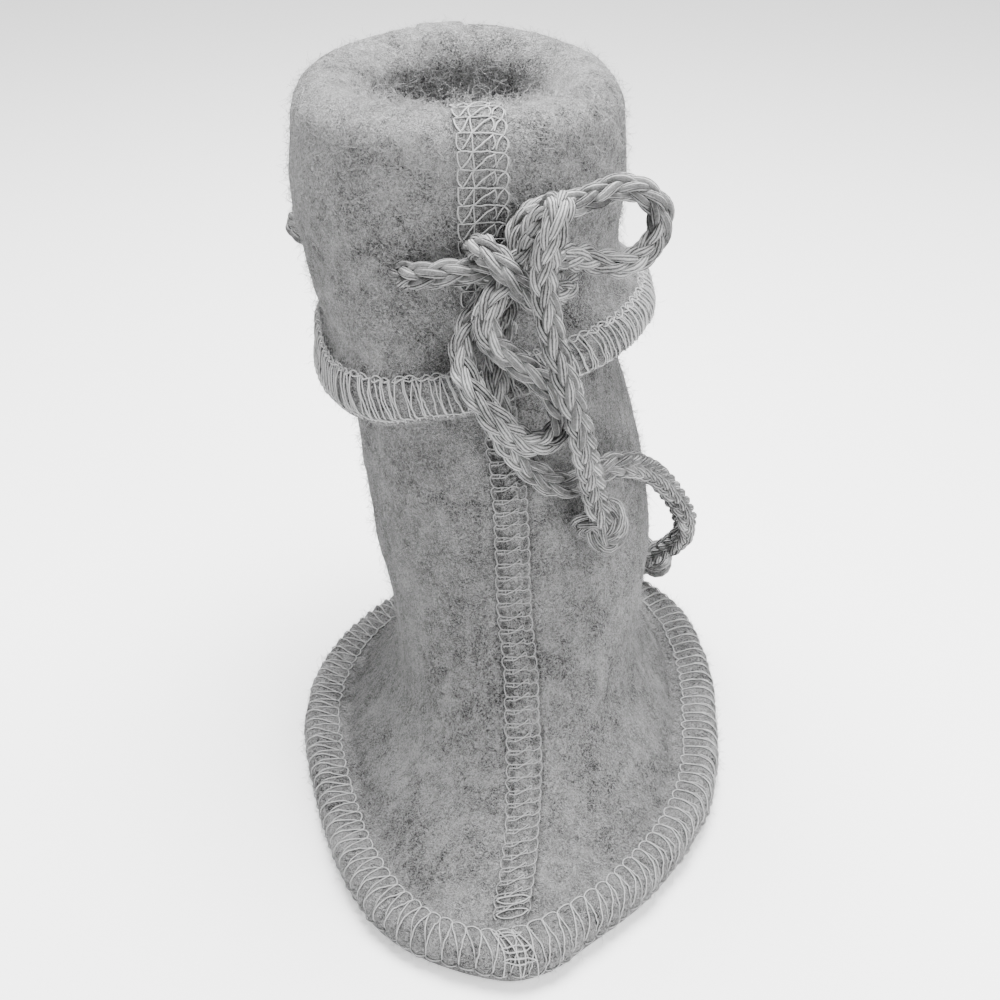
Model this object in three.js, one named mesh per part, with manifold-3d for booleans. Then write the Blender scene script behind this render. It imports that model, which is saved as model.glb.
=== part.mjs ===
// A baby's wool felt bootie: sole, seamed upper folded over at the collar, turned-down cuff and drawcord.
// Millimetres, +Z up, toe towards -Y, origin on the floor under the middle of the sole.
import * as THREE from "three";
import { mergeVertices } from "three/addons/utils/BufferGeometryUtils.js";
import Module from "manifold-3d";

// Felt and sewing
const feltThickness = 3;
const meetingGap = 0.3;
const brimWidth = 7.4;
const seamWidth = 6.6;
const seamRise = 0.5;
const seamEdge = 0.6;

// Sole
const soleLength = 125;
const soleWidth = 73;
const widestPlace = 8.5;
const toePoint = 1.17;
const footBend = 3.5;
const toeSpring = 1;
const sideCurl = 1.4;
const heelCurl = 0.6;

// Foot and shaft, outside
const ankleHeight = 50;
const ankleWidth = 48.6;
const ankleDepth = 67;
const heelSet = 1.6;

// Fold at the collar
const foldHeight = 113.5;
const foldFrontRise = 0.9;
const foldBackRise = 0.8;
const foldRadius = 5.9;
const collarWidth = 54;
const collarDepth = 61.8;
const collarShift = -1.5;
const collarLean = -10.6;
const collarTwist = 0.18;

// Cuff
const cuffDrop = 40.5;
const hemSideTilt = 5.7;
const hemFrontRise = 2.8;
const hemGap = 3.9;
const hemSwell = 0.5;

// Drawcord
const cordDiameter = 4.6;
const cordSides = 8;
const cordStep = 1.25;
const slitClearance = 0.9;
const knotDrop = 14.2;
const knotRadius = 4.8;
const knotReach = 9.5;
const barReach = 7;
const endKnotRadius = 4.9;

// Places on the way from the crease above the brim (0) to the ankle (1).
// rise is a share of that height; front, back and side say how far each outline has come;
// lean and twist are shares of the collar's, and point is the sharpness of the outline's front.
const footSections = [
  { rise: 0.09, front: 0.2, back: -0.1, side: 0.6, lean: -0.03, twist: -0.1, point: 1.15 },
  { rise: 0.17, front: 0.37, back: -0.2, side: 1.15, lean: -0.04, twist: -0.2, point: 1.12 },
  { rise: 0.28, front: 0.56, back: -0.2, side: 1.58, lean: -0.04, twist: -0.25, point: 1.08 },
  { rise: 0.42, front: 0.7, back: 0, side: 1.58, lean: -0.02, twist: -0.28, point: 1.05 },
  { rise: 0.58, front: 0.83, back: 0.35, side: 1.32, lean: 0, twist: -0.25, point: 1.02 },
  { rise: 0.79, front: 0.93, back: 0.75, side: 1.04, lean: 0.14, twist: -0.1, point: 1 },
  { rise: 1, front: 1, back: 1, side: 1, lean: 0.29, twist: 0.2, point: 1 },
];

// Places on the way from the ankle (0) to the fold (1): close says how far the shaft has closed in,
// lean and twist are shares of the collar's.
const shaftSections = [
  { rise: 0, close: 0, lean: 0.29, twist: 0.2 },
  { rise: 0.16, close: 0.1, lean: 0.46, twist: 0.55 },
  { rise: 0.32, close: 0.26, lean: 0.63, twist: 0.75 },
  { rise: 0.48, close: 0.5, lean: 0.79, twist: 0.88 },
  { rise: 0.65, close: 0.72, lean: 0.93, twist: 0.96 },
  { rise: 0.82, close: 0.9, lean: 1, twist: 1 },
  { rise: 1, close: 1, lean: 1, twist: 1 },
];

// Places down the cuff, from the fold (0) to the hem (1): stand says how far the cuff stands off
// the shaft, from the hem's distance (0) to the fold's (1), and right the share of the collar's
// lean by which it hangs further to the right.
const cuffSections = [
  { drop: 0, stand: 1, right: 0 },
  { drop: 0.22, stand: 1, right: 0 },
  { drop: 0.44, stand: 0.4, right: 0 },
  { drop: 0.62, stand: -0.5, right: 0 },
  { drop: 0.76, stand: -0.7, right: 0.04 },
  { drop: 0.87, stand: 0.12, right: 0.12 },
  { drop: 1, stand: 0, right: 0.1 },
];

// The middle line of the foot, from the toe (-1) to the heel (1): turn is a share of the foot's bend.
const footLine = [
  { place: -1, turn: -0.17 },
  { place: -0.88, turn: -1 },
  { place: -0.7, turn: -0.74 },
  { place: -0.35, turn: -0.23 },
  { place: 0.1, turn: -0.43 },
  { place: 0.4, turn: -0.11 },
  { place: 0.66, turn: 0.46 },
  { place: 1, turn: 0.86 },
];

// Slits in the cuff for the drawcord: angle from the front seam in degrees, drop below the fold.
const slits = {
  frontLeft: { angle: -24, drop: 17.2 },
  frontRight: { angle: 24, drop: 21 },
  backLeft: { angle: -100, drop: 23 },
  backRight: { angle: 100, drop: 23 },
};

// Bow: points along the real one, from the place on the cuff's front seam level with the knot.
const knotPlace = [4.5, -5.3, 0];
const barLeftRoute = [[-8.8, -3.5, -1.7], [-5.8, -4.3, -1], [-1.6, -4.8, -0.4], knotPlace];
const barRightRoute = [[10.8, 1.2, -5.9], [9, -1, -4.7], [7.1, -2.8, -2.9], knotPlace];
const loopSideRoute = [
  knotPlace, [5.8, -4.4, 1.6], [5.2, -3.9, 3.9], [6, -2.5, 6.1], [8, -0.9, 7.6], [11.9, 1.7, 7.6],
  [16.2, 4.4, 8], [20.7, 6.4, 9.1], [24.8, 7.4, 7.6], [26.9, 7.9, 4.3], [26.4, 7.9, 0.4],
  [24, 6.9, -2.2], [20.1, 4.4, -2.6], [16.2, 3.8, -1.7], [12.6, 0.6, 0.1], [9, -2.7, 0.5],
  knotPlace,
];
const loopFrontRoute = [
  knotPlace, [3.1, -7.7, -1.7], [1.2, -9.6, -3.8], [0.5, -10.2, -6.9], [1.9, -10.3, -10.1],
  [5.4, -10.4, -12.8], [8.7, -10.2, -15.6], [11.2, -9.4, -19.3], [12.1, -8.4, -23.3],
  [10.6, -8.4, -26], [7.4, -10.1, -26.2], [3.8, -12.9, -22.8], [0.8, -13.8, -19],
  [-1.7, -11.9, -16], [-3, -8.6, -13.1], [-2.5, -6.8, -9.6], [-0.2, -5.6, -6.2], knotPlace,
];
const endFrontRoute = [
  knotPlace, [7, -8.1, 4], [8.1, -8.6, 6.9], [9.5, -8.8, 10.1], [11, -11.1, 12.4],
  [11, -15.6, 11.9], [9.8, -15.2, 7.5], [9.1, -13.6, 2.3], [9.5, -13.2, -2.6], [10.5, -14, -7.3],
  [11.9, -14.8, -11.7], [13.3, -14.8, -16.5], [14.8, -13.3, -22.5], [16, -9.6, -29.3],
  [17, -5.6, -35.5], [17.8, -2.6, -39.9], [19.2, 0.7, -46.3],
];
const endSideRoute = [
  knotPlace, [3.4, -3.9, -5.4], [2.7, -4.6, -9.2], [2.2, -5.6, -12.7], [1.9, -6.8, -16.7],
  [2, -7.7, -20.4], [2.8, -6.1, -26.3], [5.2, -2.8, -31.9], [8.4, -1.2, -36.1], [11.9, 0.5, -38.8],
  [15.5, 2.9, -39.4], [19.1, 6.4, -38.7], [23.2, 11.4, -40.5], [26.1, 18.2, -44.5],
  [29.4, 25.8, -50.1], [32.4, 32.4, -56.7], [35.2, 39.4, -64.4], [36, 47.4, -73],
  [33.7, 55.4, -80.5], [30.4, 62.4, -86.7],
];

const colours = {
  felt: 0x9a9a9a,
  sole: 0x8e8e8e,
  cuff: 0xa2a2a2,
  cord: 0x8a8a8a,
};

const wasm = await Module();
wasm.setup();

function material(colour) {
  return new THREE.MeshStandardMaterial({ color: colour, roughness: 0.95, metalness: 0 });
}

function toSolid(geometry) {
  const bare = geometry.clone();
  bare.deleteAttribute("normal");
  bare.deleteAttribute("uv");
  const merged = mergeVertices(bare, 1e-4);
  return new wasm.Manifold(
    new wasm.Mesh({
      numProp: 3,
      vertProperties: merged.attributes.position.array,
      triVerts: new Uint32Array(merged.index.array),
    }),
  );
}

function toGeometry(solid) {
  const mesh = solid.getMesh();
  const geometry = new THREE.BufferGeometry();
  geometry.setAttribute("position", new THREE.BufferAttribute(mesh.vertProperties, 3));
  geometry.setIndex(new THREE.BufferAttribute(mesh.triVerts, 1));
  return geometry;
}

function named(name, geometry, colour) {
  geometry.computeVertexNormals();
  const mesh = new THREE.Mesh(geometry, material(colour));
  mesh.name = name;
  return mesh;
}

function mix(a, b, share) {
  return a + (b - a) * share;
}

// Reads a table at a place between its rows, every column but the key.
function readTable(table, key, value) {
  const last = table.length - 1;
  const found = table.findIndex((row) => row[key] >= value);
  const next = found < 0 ? last : Math.max(1, found);
  const from = table[next - 1];
  const to = table[next];
  const share = THREE.MathUtils.clamp((value - from[key]) / (to[key] - from[key]), 0, 1);
  const columns = Object.keys(from);
  return Object.fromEntries(columns.map((column) => [column, mix(from[column], to[column], share)]));
}

// Stations go once round the shoe. Those at a seam keep a distance from its middle, the rest an angle.
function makeStations() {
  const half = seamWidth / 2;
  const offsets = [-half - seamEdge, -half, 0, half, half + seamEdge];
  const firstAngle = 0.3;
  const sideSteps = 20;
  const list = [];
  const addSide = (sign) => {
    for (let i = 0; i <= sideSteps; i++) {
      const angle = mix(firstAngle, Math.PI - firstAngle, i / sideSteps);
      list.push({ angle: sign > 0 ? angle : Math.PI + angle });
    }
  };
  const addSeam = (front) => {
    for (const offset of offsets) {
      list.push({ offset: front ? offset : -offset, front, raised: Math.abs(offset) <= half });
    }
  };
  addSeam(true);
  addSide(1);
  addSeam(false);
  addSide(-1);
  return list;
}

const stations = makeStations();

// The foot's middle line bends a little between toe and heel.
function footTurn(y) {
  return footBend * readTable(footLine, "place", y / (soleLength / 2)).turn;
}

// A ring is a level outline: middle (x, y), half width, reach to the front and back, sharpness of
// the front, twist about the middle, and curve, the share of the foot's bend that it takes.
function ringPoint(ring, station) {
  const point = ring.point ?? 1;
  let angle = station.angle;
  if (station.offset !== undefined) {
    const share = Math.min(1, Math.abs(station.offset) / ring.half);
    const tilt = Math.asin(station.front ? share ** (1 / point) : share);
    angle = (station.front ? tilt : Math.PI - tilt) * Math.sign(station.offset || 1);
  }
  angle += ring.twist ?? 0;
  const forward = Math.cos(angle);
  const sideways = Math.sin(angle);
  const spread = Math.sign(sideways) * Math.abs(sideways) ** (forward > 0 ? point : 1);
  const y = ring.y - forward * (forward > 0 ? ring.front : ring.back);
  const x = ring.x + spread * ring.half + footTurn(y) * (ring.curve ?? 0);
  return { x, y, forward, sideways };
}

const soleRing = {
  x: 0,
  y: widestPlace,
  half: soleWidth / 2,
  front: soleLength / 2 + widestPlace,
  back: soleLength / 2 - widestPlace,
  point: toePoint,
  curve: 1,
};

function insetRing(ring, inset) {
  return {
    ...ring,
    half: ring.half - inset,
    front: ring.front - inset,
    back: ring.back - inset,
  };
}

const creaseRing = insetRing(soleRing, brimWidth);

// How high the brim curls off the floor, from the crease (0) to the rim (1).
function brimCurl(place, share) {
  const toe = Math.max(0, place.forward) ** 4 * toeSpring;
  const heel = Math.max(0, -place.forward) ** 2 * heelCurl;
  const side = place.sideways ** 2 * sideCurl;
  return (toe + heel + side) * share * share;
}

// A point of the brim: out is the share of the way from crease to rim, height is above the floor.
function brimPoint(station, out, height, extra = 0) {
  const place = ringPoint(insetRing(soleRing, brimWidth * (1 - out) - extra), station);
  return new THREE.Vector3(place.x, place.y, height + brimCurl(place, out));
}

const topOfSole = feltThickness;
const underUpper = feltThickness + meetingGap;
const topOfBrim = underUpper + feltThickness;
const foldMid = foldRadius - feltThickness;

const heelCrease = soleLength / 2 - brimWidth;
const ankleBack = heelCrease - heelSet;
const ankleMiddle = ankleBack - ankleDepth / 2;

const ankleRing = {
  x: 0,
  y: ankleMiddle,
  half: ankleWidth / 2,
  front: ankleDepth / 2,
  back: ankleDepth / 2,
};

const foldRing = {
  x: collarLean,
  y: ankleMiddle + collarShift,
  half: collarWidth / 2 - foldRadius,
  front: collarDepth / 2 - foldRadius,
  back: collarDepth / 2 - foldRadius,
  twist: collarTwist,
};

const neckRing = insetRing(foldRing, foldMid);

function footRing(section) {
  const front = mix(creaseRing.y - creaseRing.front, ankleRing.y - ankleRing.front, section.front);
  const back = mix(heelCrease, ankleBack, section.back);
  const middle = mix(creaseRing.y, ankleRing.y, section.rise);
  return {
    x: collarLean * section.lean,
    y: middle,
    half: mix(creaseRing.half, ankleRing.half, section.side),
    front: middle - front,
    back: back - middle,
    point: section.point,
    twist: collarTwist * section.twist,
    curve: 1 - section.rise,
    z: mix(topOfBrim, ankleHeight, section.rise),
  };
}

function shaftRing(section) {
  return {
    x: collarLean * section.lean,
    y: mix(ankleRing.y, neckRing.y, section.close),
    half: mix(ankleRing.half, neckRing.half, section.close),
    front: mix(ankleRing.front, neckRing.front, section.close),
    back: mix(ankleRing.back, neckRing.back, section.close),
    twist: collarTwist * section.twist,
    z: mix(ankleHeight, foldHeight, section.rise),
  };
}

function foldLevel(place) {
  return foldHeight + (place.forward > 0 ? foldFrontRise : foldBackRise) * place.forward ** 2;
}

// A point of the fold's section: radius from its middle line, turn 0 is outside and pi is inside.
function foldPoint(station, radius, turn) {
  const place = ringPoint(insetRing(foldRing, -radius * Math.cos(turn)), station);
  return new THREE.Vector3(place.x, place.y, foldLevel(place) + radius * Math.sin(turn));
}

function levelRow(ring) {
  return stations.map((station) => {
    const place = ringPoint(ring, station);
    return new THREE.Vector3(place.x, place.y, ring.z);
  });
}

function rowOf(pointAt) {
  return stations.map(pointAt);
}

// The outward normals of a stack of rows, the rows running upwards.
function rowNormals(rows) {
  const count = stations.length;
  return rows.map((row, level) =>
    row.map((_, i) => {
      const along = row[(i + 1) % count].clone().sub(row[(i + count - 1) % count]);
      const above = rows[Math.min(level + 1, rows.length - 1)][i];
      const below = rows[Math.max(level - 1, 0)][i];
      return along.cross(above.clone().sub(below)).normalize();
    }),
  );
}

// Moves rows along their normals by a distance that may differ from station to station.
function offsetRows(rows, distanceAt) {
  const normals = rowNormals(rows);
  return rows.map((row, level) =>
    row.map((point, i) => point.clone().addScaledVector(normals[level][i], distanceAt(stations[i]))),
  );
}

// The two flat seams stand up from the cloth as a low step.
function raiseSeams(rows) {
  return offsetRows(rows, (station) => (station.raised ? seamRise : 0));
}

// Joins rows round the shoe into one closed wall, the last row meeting the first.
function closedWall(rows) {
  const count = stations.length;
  const positions = rows.flat().flatMap((point) => [point.x, point.y, point.z]);
  const index = [];
  rows.forEach((row, level) => {
    const next = (level + 1) % rows.length;
    for (let i = 0; i < count; i++) {
      const side = (i + 1) % count;
      const a = level * count + i;
      const b = level * count + side;
      const c = next * count + side;
      const d = next * count + i;
      index.push(a, b, c, a, c, d);
    }
  });
  const geometry = new THREE.BufferGeometry();
  geometry.setAttribute("position", new THREE.Float32BufferAttribute(positions, 3));
  geometry.setIndex(index);
  return geometry;
}

// Sole: flat under the foot, its brim curling up a little with the upper's.
function makeSole() {
  const count = stations.length;
  const flatShares = [0.3, 0.65];
  const brimShares = [0, 0.5, 1];
  const flatRow = (share, height) =>
    levelRow({
      ...creaseRing,
      half: creaseRing.half * share,
      front: creaseRing.front * share,
      back: creaseRing.back * share,
      z: height,
    });
  const side = (height) => [
    ...flatShares.map((share) => flatRow(share, height)),
    ...brimShares.map((share) => rowOf((station) => brimPoint(station, share, height))),
  ];
  const edgeBulge = rowOf((station) => brimPoint(station, 1, topOfSole / 2, seamRise));
  const rows = [...side(0), edgeBulge, ...side(topOfSole).reverse()];
  const positions = rows.flat().flatMap((point) => [point.x, point.y, point.z]);
  const under = positions.length / 3;
  const over = under + 1;
  positions.push(0, creaseRing.y, 0, 0, creaseRing.y, topOfSole);
  const index = [];
  for (let level = 0; level < rows.length - 1; level++) {
    for (let i = 0; i < count; i++) {
      const j = (i + 1) % count;
      const a = level * count + i;
      const b = level * count + j;
      index.push(a, b, b + count, a, b + count, a + count);
    }
  }
  const last = (rows.length - 1) * count;
  for (let i = 0; i < count; i++) {
    const j = (i + 1) % count;
    index.push(under, j, i, over, last + i, last + j);
  }
  const geometry = new THREE.BufferGeometry();
  geometry.setAttribute("position", new THREE.Float32BufferAttribute(positions, 3));
  geometry.setIndex(index);
  return named("sole", geometry, colours.sole);
}

// Upper: one hollow wall of brim, foot, shaft and fold, open at the collar and underneath.
function makeUpper() {
  const creaseRow = rowOf((station) => brimPoint(station, 0, topOfBrim - meetingGap));
  const outer = [
    creaseRow,
    ...footSections.map((section) => levelRow(footRing(section))),
    ...shaftSections.slice(1, -1).map((section) => levelRow(shaftRing(section))),
    rowOf((station) => foldPoint(station, foldMid, Math.PI)),
  ];
  const inner = offsetRows(outer, () => -feltThickness).slice(1, -1);
  const foldSteps = 7;
  const innerArc = [];
  const outerArc = [];
  for (let i = 1; i <= foldSteps; i++) {
    innerArc.push(rowOf((station) => foldPoint(station, foldMid, Math.PI * (1 - i / foldSteps))));
  }
  for (let i = 0; i <= foldSteps; i++) {
    const radius = (station) => foldRadius + (station.raised ? seamRise : 0);
    outerArc.push(rowOf((station) => foldPoint(station, radius(station), (Math.PI * i) / foldSteps)));
  }
  const rows = [
    rowOf((station) => brimPoint(station, 1, underUpper)),
    rowOf((station) => brimPoint(station, 1, underUpper + feltThickness / 2, seamRise)),
    rowOf((station) => brimPoint(station, 1, topOfBrim, -seamRise)),
    rowOf((station) => brimPoint(station, 0.5, topOfBrim)),
    ...raiseSeams(outer),
    ...innerArc,
    ...outerArc,
    ...inner.reverse(),
    rowOf((station) => brimPoint(station, -feltThickness / 2 / brimWidth, underUpper)),
    rowOf((station) => brimPoint(station, 0, underUpper)),
    rowOf((station) => brimPoint(station, 0.5, underUpper)),
  ];
  return named("upper", closedWall(rows), colours.felt);
}

// The shaft's outline at a height.
function shaftRingAt(height) {
  return shaftRing(readTable(shaftSections, "rise", (height - ankleHeight) / (foldHeight - ankleHeight)));
}

const foldStand = foldMid + foldRadius;
const hemStand = hemGap + feltThickness;

// Height of the cuff at a share of the way from the fold to the hem, at a place round the shoe.
function cuffLevel(place, drop) {
  const top = foldLevel(place) - meetingGap;
  const rise = hemSideTilt * place.sideways + hemFrontRise * Math.max(0, place.forward) ** 2;
  return mix(top, foldHeight - cuffDrop + rise, drop);
}

// The cuff's outline at a height, the shaft's own moved out: inward is the depth below its outside.
function cuffRing(height, section, inward) {
  const ring = insetRing(shaftRingAt(height), inward - mix(hemStand, foldStand, section.stand));
  return { ...ring, x: ring.x - collarLean * section.right };
}

function cuffPoint(station, section, inward = 0) {
  const height = cuffLevel(ringPoint(foldRing, station), section.drop);
  const place = ringPoint(cuffRing(height, section, inward), station);
  return new THREE.Vector3(place.x, place.y, height);
}

// Cuff: the turned-down top of the shaft, meeting the cut end of the fold, its hem a little fuller,
// with four slits.
function makeCuff() {
  const hem = cuffSections.at(-1);
  const edge = { ...hem, drop: 1 - feltThickness / 2 / cuffDrop };
  const wall = cuffSections.slice(0, -1);
  const column = (inward) =>
    wall.map((section) => rowOf((station) => cuffPoint(station, section, inward)));
  const outside = [...column(0), rowOf((station) => cuffPoint(station, edge, -hemSwell))];
  const rows = [
    ...column(feltThickness),
    rowOf((station) => cuffPoint(station, edge, feltThickness)),
    rowOf((station) => cuffPoint(station, hem, feltThickness * 0.75)),
    rowOf((station) => cuffPoint(station, hem, feltThickness * 0.25)),
    ...raiseSeams(outside.reverse()),
  ];
  let solid = toSolid(closedWall(rows));
  for (const slit of Object.values(slits)) {
    const line = new THREE.LineCurve3(slitPoint(slit, 2 * feltThickness), slitPoint(slit, -feltThickness));
    solid = solid.subtract(toSolid(tube(line, cordDiameter / 2 + slitClearance, 1)));
  }
  return named("cuff", toGeometry(solid), colours.cuff);
}

function slitAngle(slit) {
  return collarTwist + THREE.MathUtils.degToRad(slit.angle);
}

// A point on a slit's own line through the cuff, at a depth below the cuff's outside.
function slitPoint(slit, inward) {
  return cuffOutside(slitAngle(slit), foldHeight - slit.drop, inward);
}

// A point of the cuff by its angle from the front and its height.
function cuffOutside(angle, height, inward) {
  const place = { forward: Math.cos(angle), sideways: Math.sin(angle) };
  const top = cuffLevel(place, 0);
  const section = readTable(cuffSections, "drop", (top - height) / (top - cuffLevel(place, 1)));
  const point = ringPoint({ ...cuffRing(height, section, inward), twist: 0 }, { angle });
  return new THREE.Vector3(point.x, point.y, height);
}

function tube(path, radius, steps) {
  const section = new THREE.Shape();
  for (let i = 0; i < cordSides; i++) {
    const angle = (2 * Math.PI * i) / cordSides;
    const x = radius * Math.cos(angle);
    const y = radius * Math.sin(angle);
    if (i === 0) section.moveTo(x, y);
    else section.lineTo(x, y);
  }
  section.closePath();
  return new THREE.ExtrudeGeometry(section, { steps, extrudePath: path, bevelEnabled: false });
}

function curve(points) {
  return new THREE.CatmullRomCurve3(points, false, "centripetal");
}

const bowPlace = cuffOutside(collarTwist, foldHeight - knotDrop, 0);

function bowPoint(offset) {
  return new THREE.Vector3(...offset).add(bowPlace);
}

function bowCurve(route) {
  return curve(route.map(bowPoint));
}

// Part of a curve, between two shares of its length.
class Stretch extends THREE.Curve {
  constructor(whole, from, to) {
    super();
    this.whole = whole;
    this.from = from;
    this.to = to;
  }

  getPoint(share, target) {
    return this.whole.getPointAt(mix(this.from, this.to, share), target);
  }
}

function cordSolid(path, from = 0, to = 1) {
  const steps = Math.max(2, Math.round((path.getLength() * (to - from)) / (cordStep * cordDiameter)));
  return toSolid(tube(new Stretch(path, from, to), cordDiameter / 2, steps));
}

function ball(place, radius) {
  const sphere = new THREE.SphereGeometry(radius, 20, 14);
  sphere.translate(...place);
  return toSolid(sphere);
}

// Drawcord: two bars at the front and the stretch round the back, each into its slits.
function makeBar(name, slit, route) {
  const ends = [slitPoint(slit, feltThickness), slitPoint(slit, -0.5)];
  const path = curve([...ends, ...route.map(bowPoint)]);
  return named(name, toGeometry(cordSolid(path, 0, 1 - barReach / path.getLength())), colours.cord);
}

function makeBackStretch() {
  const clear = cordDiameter / 2 + seamRise + 2 * meetingGap;
  const bend = (slit) => slitPoint(slit, -cordDiameter / 2);
  const from = slitAngle(slits.backRight);
  const to = slitAngle(slits.backLeft) + 2 * Math.PI;
  const height = foldHeight - slits.backRight.drop;
  const steps = 12;
  const points = [slitPoint(slits.backRight, feltThickness), bend(slits.backRight)];
  for (let i = 1; i < steps; i++) {
    points.push(cuffOutside(mix(from, to, i / steps), height, -clear));
  }
  points.push(bend(slits.backLeft), slitPoint(slits.backLeft, feltThickness));
  return named("drawcord_back", toGeometry(cordSolid(curve(points))), colours.cord);
}

// Bow: the knot holds the root of each bar, loop and end; these go on from it.
function makeBow() {
  const routes = {
    bow_loop_side: loopSideRoute,
    bow_loop_front: loopFrontRoute,
    cord_end_front: endFrontRoute,
    cord_end_side: endSideRoute,
  };
  const pieces = {};
  let knot = ball(bowPoint(knotPlace), knotRadius);
  for (const route of [barLeftRoute, barRightRoute]) {
    const path = bowCurve(route);
    knot = knot.add(cordSolid(path, 1 - (barReach - meetingGap) / path.getLength(), 1));
  }
  for (const [name, route] of Object.entries(routes)) {
    const path = bowCurve(route);
    const root = knotReach / path.getLength();
    const gap = meetingGap / path.getLength();
    const loop = name.startsWith("bow_loop");
    knot = knot.add(cordSolid(path, 0, root));
    if (loop) knot = knot.add(cordSolid(path, 1 - root, 1));
    pieces[name] = cordSolid(path, root + gap, loop ? 1 - root - gap : 1);
  }
  for (const end of ["front", "side"]) {
    const cord = `cord_end_${end}`;
    const place = bowPoint(routes[cord].at(-1));
    pieces[cord] = pieces[cord].subtract(ball(place, endKnotRadius + meetingGap));
    pieces[`end_knot_${end}`] = ball(place, endKnotRadius);
  }
  pieces.bow_knot = knot;
  return Object.entries(pieces).map(([name, solid]) => named(name, toGeometry(solid), colours.cord));
}

const group = new THREE.Group();
group.add(makeSole());
group.add(makeUpper());
group.add(makeCuff());
group.add(makeBar("drawcord_bar_left", slits.frontLeft, barLeftRoute));
group.add(makeBar("drawcord_bar_right", slits.frontRight, barRightRoute));
group.add(makeBackStretch());
group.add(...makeBow());

export default group;
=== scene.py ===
# A baby's wool felt bootie: a seamed upper folded over at the collar into a cuff, a flat sole,
# overlock sewing round the rim and the hem, and a knitted drawcord tied in a bow.
import math
import random

import bpy
import numpy as np
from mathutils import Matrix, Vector, noise


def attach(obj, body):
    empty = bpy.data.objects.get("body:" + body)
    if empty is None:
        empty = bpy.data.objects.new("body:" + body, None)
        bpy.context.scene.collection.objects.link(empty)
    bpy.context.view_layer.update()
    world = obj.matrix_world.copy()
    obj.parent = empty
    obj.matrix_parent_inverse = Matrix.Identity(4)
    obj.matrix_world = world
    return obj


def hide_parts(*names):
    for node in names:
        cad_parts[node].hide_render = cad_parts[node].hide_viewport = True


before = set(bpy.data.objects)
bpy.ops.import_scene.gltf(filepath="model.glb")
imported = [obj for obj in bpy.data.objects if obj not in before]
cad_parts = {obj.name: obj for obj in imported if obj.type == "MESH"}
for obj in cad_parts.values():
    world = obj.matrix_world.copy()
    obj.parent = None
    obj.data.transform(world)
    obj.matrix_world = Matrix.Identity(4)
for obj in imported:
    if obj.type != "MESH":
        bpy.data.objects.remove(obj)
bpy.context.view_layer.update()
mm = 0.001

print("camera and light")
camera = {"place": (2.72, -298.41, 208.0), "target": (-4.06, 33.77, 33.64), "lens": 72.34}
light = {
    "sky": 0.2,
    "top": {"place": (0, 60, 440), "size": 360, "watts": 9.8},
    "front": {"place": (250, -340, 300), "size": 340, "watts": 2.3},
}
floor = {"size": 6000, "colour": (0.94, 0.94, 0.94), "glow": 0.85}


def aimAt(thing, place, target):
    eye = Vector(place) * mm
    thing.location = eye
    thing.rotation_mode = "QUATERNION"
    thing.rotation_quaternion = (Vector(target) * mm - eye).to_track_quat("-Z", "Y")


def addToScene(thing):
    bpy.context.scene.collection.objects.link(thing)
    return thing


cameraObject = addToScene(bpy.data.objects.new("camera", bpy.data.cameras.new("camera")))
cameraObject.data.lens = camera["lens"]
cameraObject.data.clip_start = 0.01
cameraObject.data.clip_end = 20
aimAt(cameraObject, camera["place"], camera["target"])
bpy.context.scene.camera = cameraObject

for name in ("top", "front"):
    lamp = bpy.data.lights.new(f"{name}_light", "AREA")
    lamp.shape = "DISK"
    lamp.size = light[name]["size"] * mm
    lamp.energy = light[name]["watts"]
    aimAt(addToScene(bpy.data.objects.new(f"{name}_light", lamp)), light[name]["place"], (0, 0, 50))

world = bpy.data.worlds.new("studio")
bpy.context.scene.world = world
world.use_nodes = True
world.node_tree.nodes["Background"].inputs["Color"].default_value = (1, 1, 1, 1)
world.node_tree.nodes["Background"].inputs["Strength"].default_value = light["sky"]


# A wire is a socket that adds Math nodes when it is used in an expression
class Wire:
    def __init__(self, shader, socket):
        self.shader = shader
        self.socket = socket

    def maths(self, operation, other=None, flipped=False):
        values = [self, other] if not flipped else [other, self]
        values = [value for value in values if value is not None]
        return self.shader.node("ShaderNodeMath", {"operation": operation}, *values)

    def __add__(self, other):
        return self.maths("ADD", other)

    def __radd__(self, other):
        return self.maths("ADD", other, True)

    def __sub__(self, other):
        return self.maths("SUBTRACT", other)

    def __rsub__(self, other):
        return self.maths("SUBTRACT", other, True)

    def __mul__(self, other):
        return self.maths("MULTIPLY", other)

    def __rmul__(self, other):
        return self.maths("MULTIPLY", other, True)

    def __truediv__(self, other):
        return self.maths("DIVIDE", other)

    def __pow__(self, other):
        return self.maths("POWER", other)

    def fraction(self):
        return self.maths("FRACT")

    def size(self):
        return self.maths("ABSOLUTE")

    def wave(self):
        return self.maths("SINE")

    def least(self, other):
        return self.maths("MINIMUM", other)

    def most(self, other):
        return self.maths("MAXIMUM", other)


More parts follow.
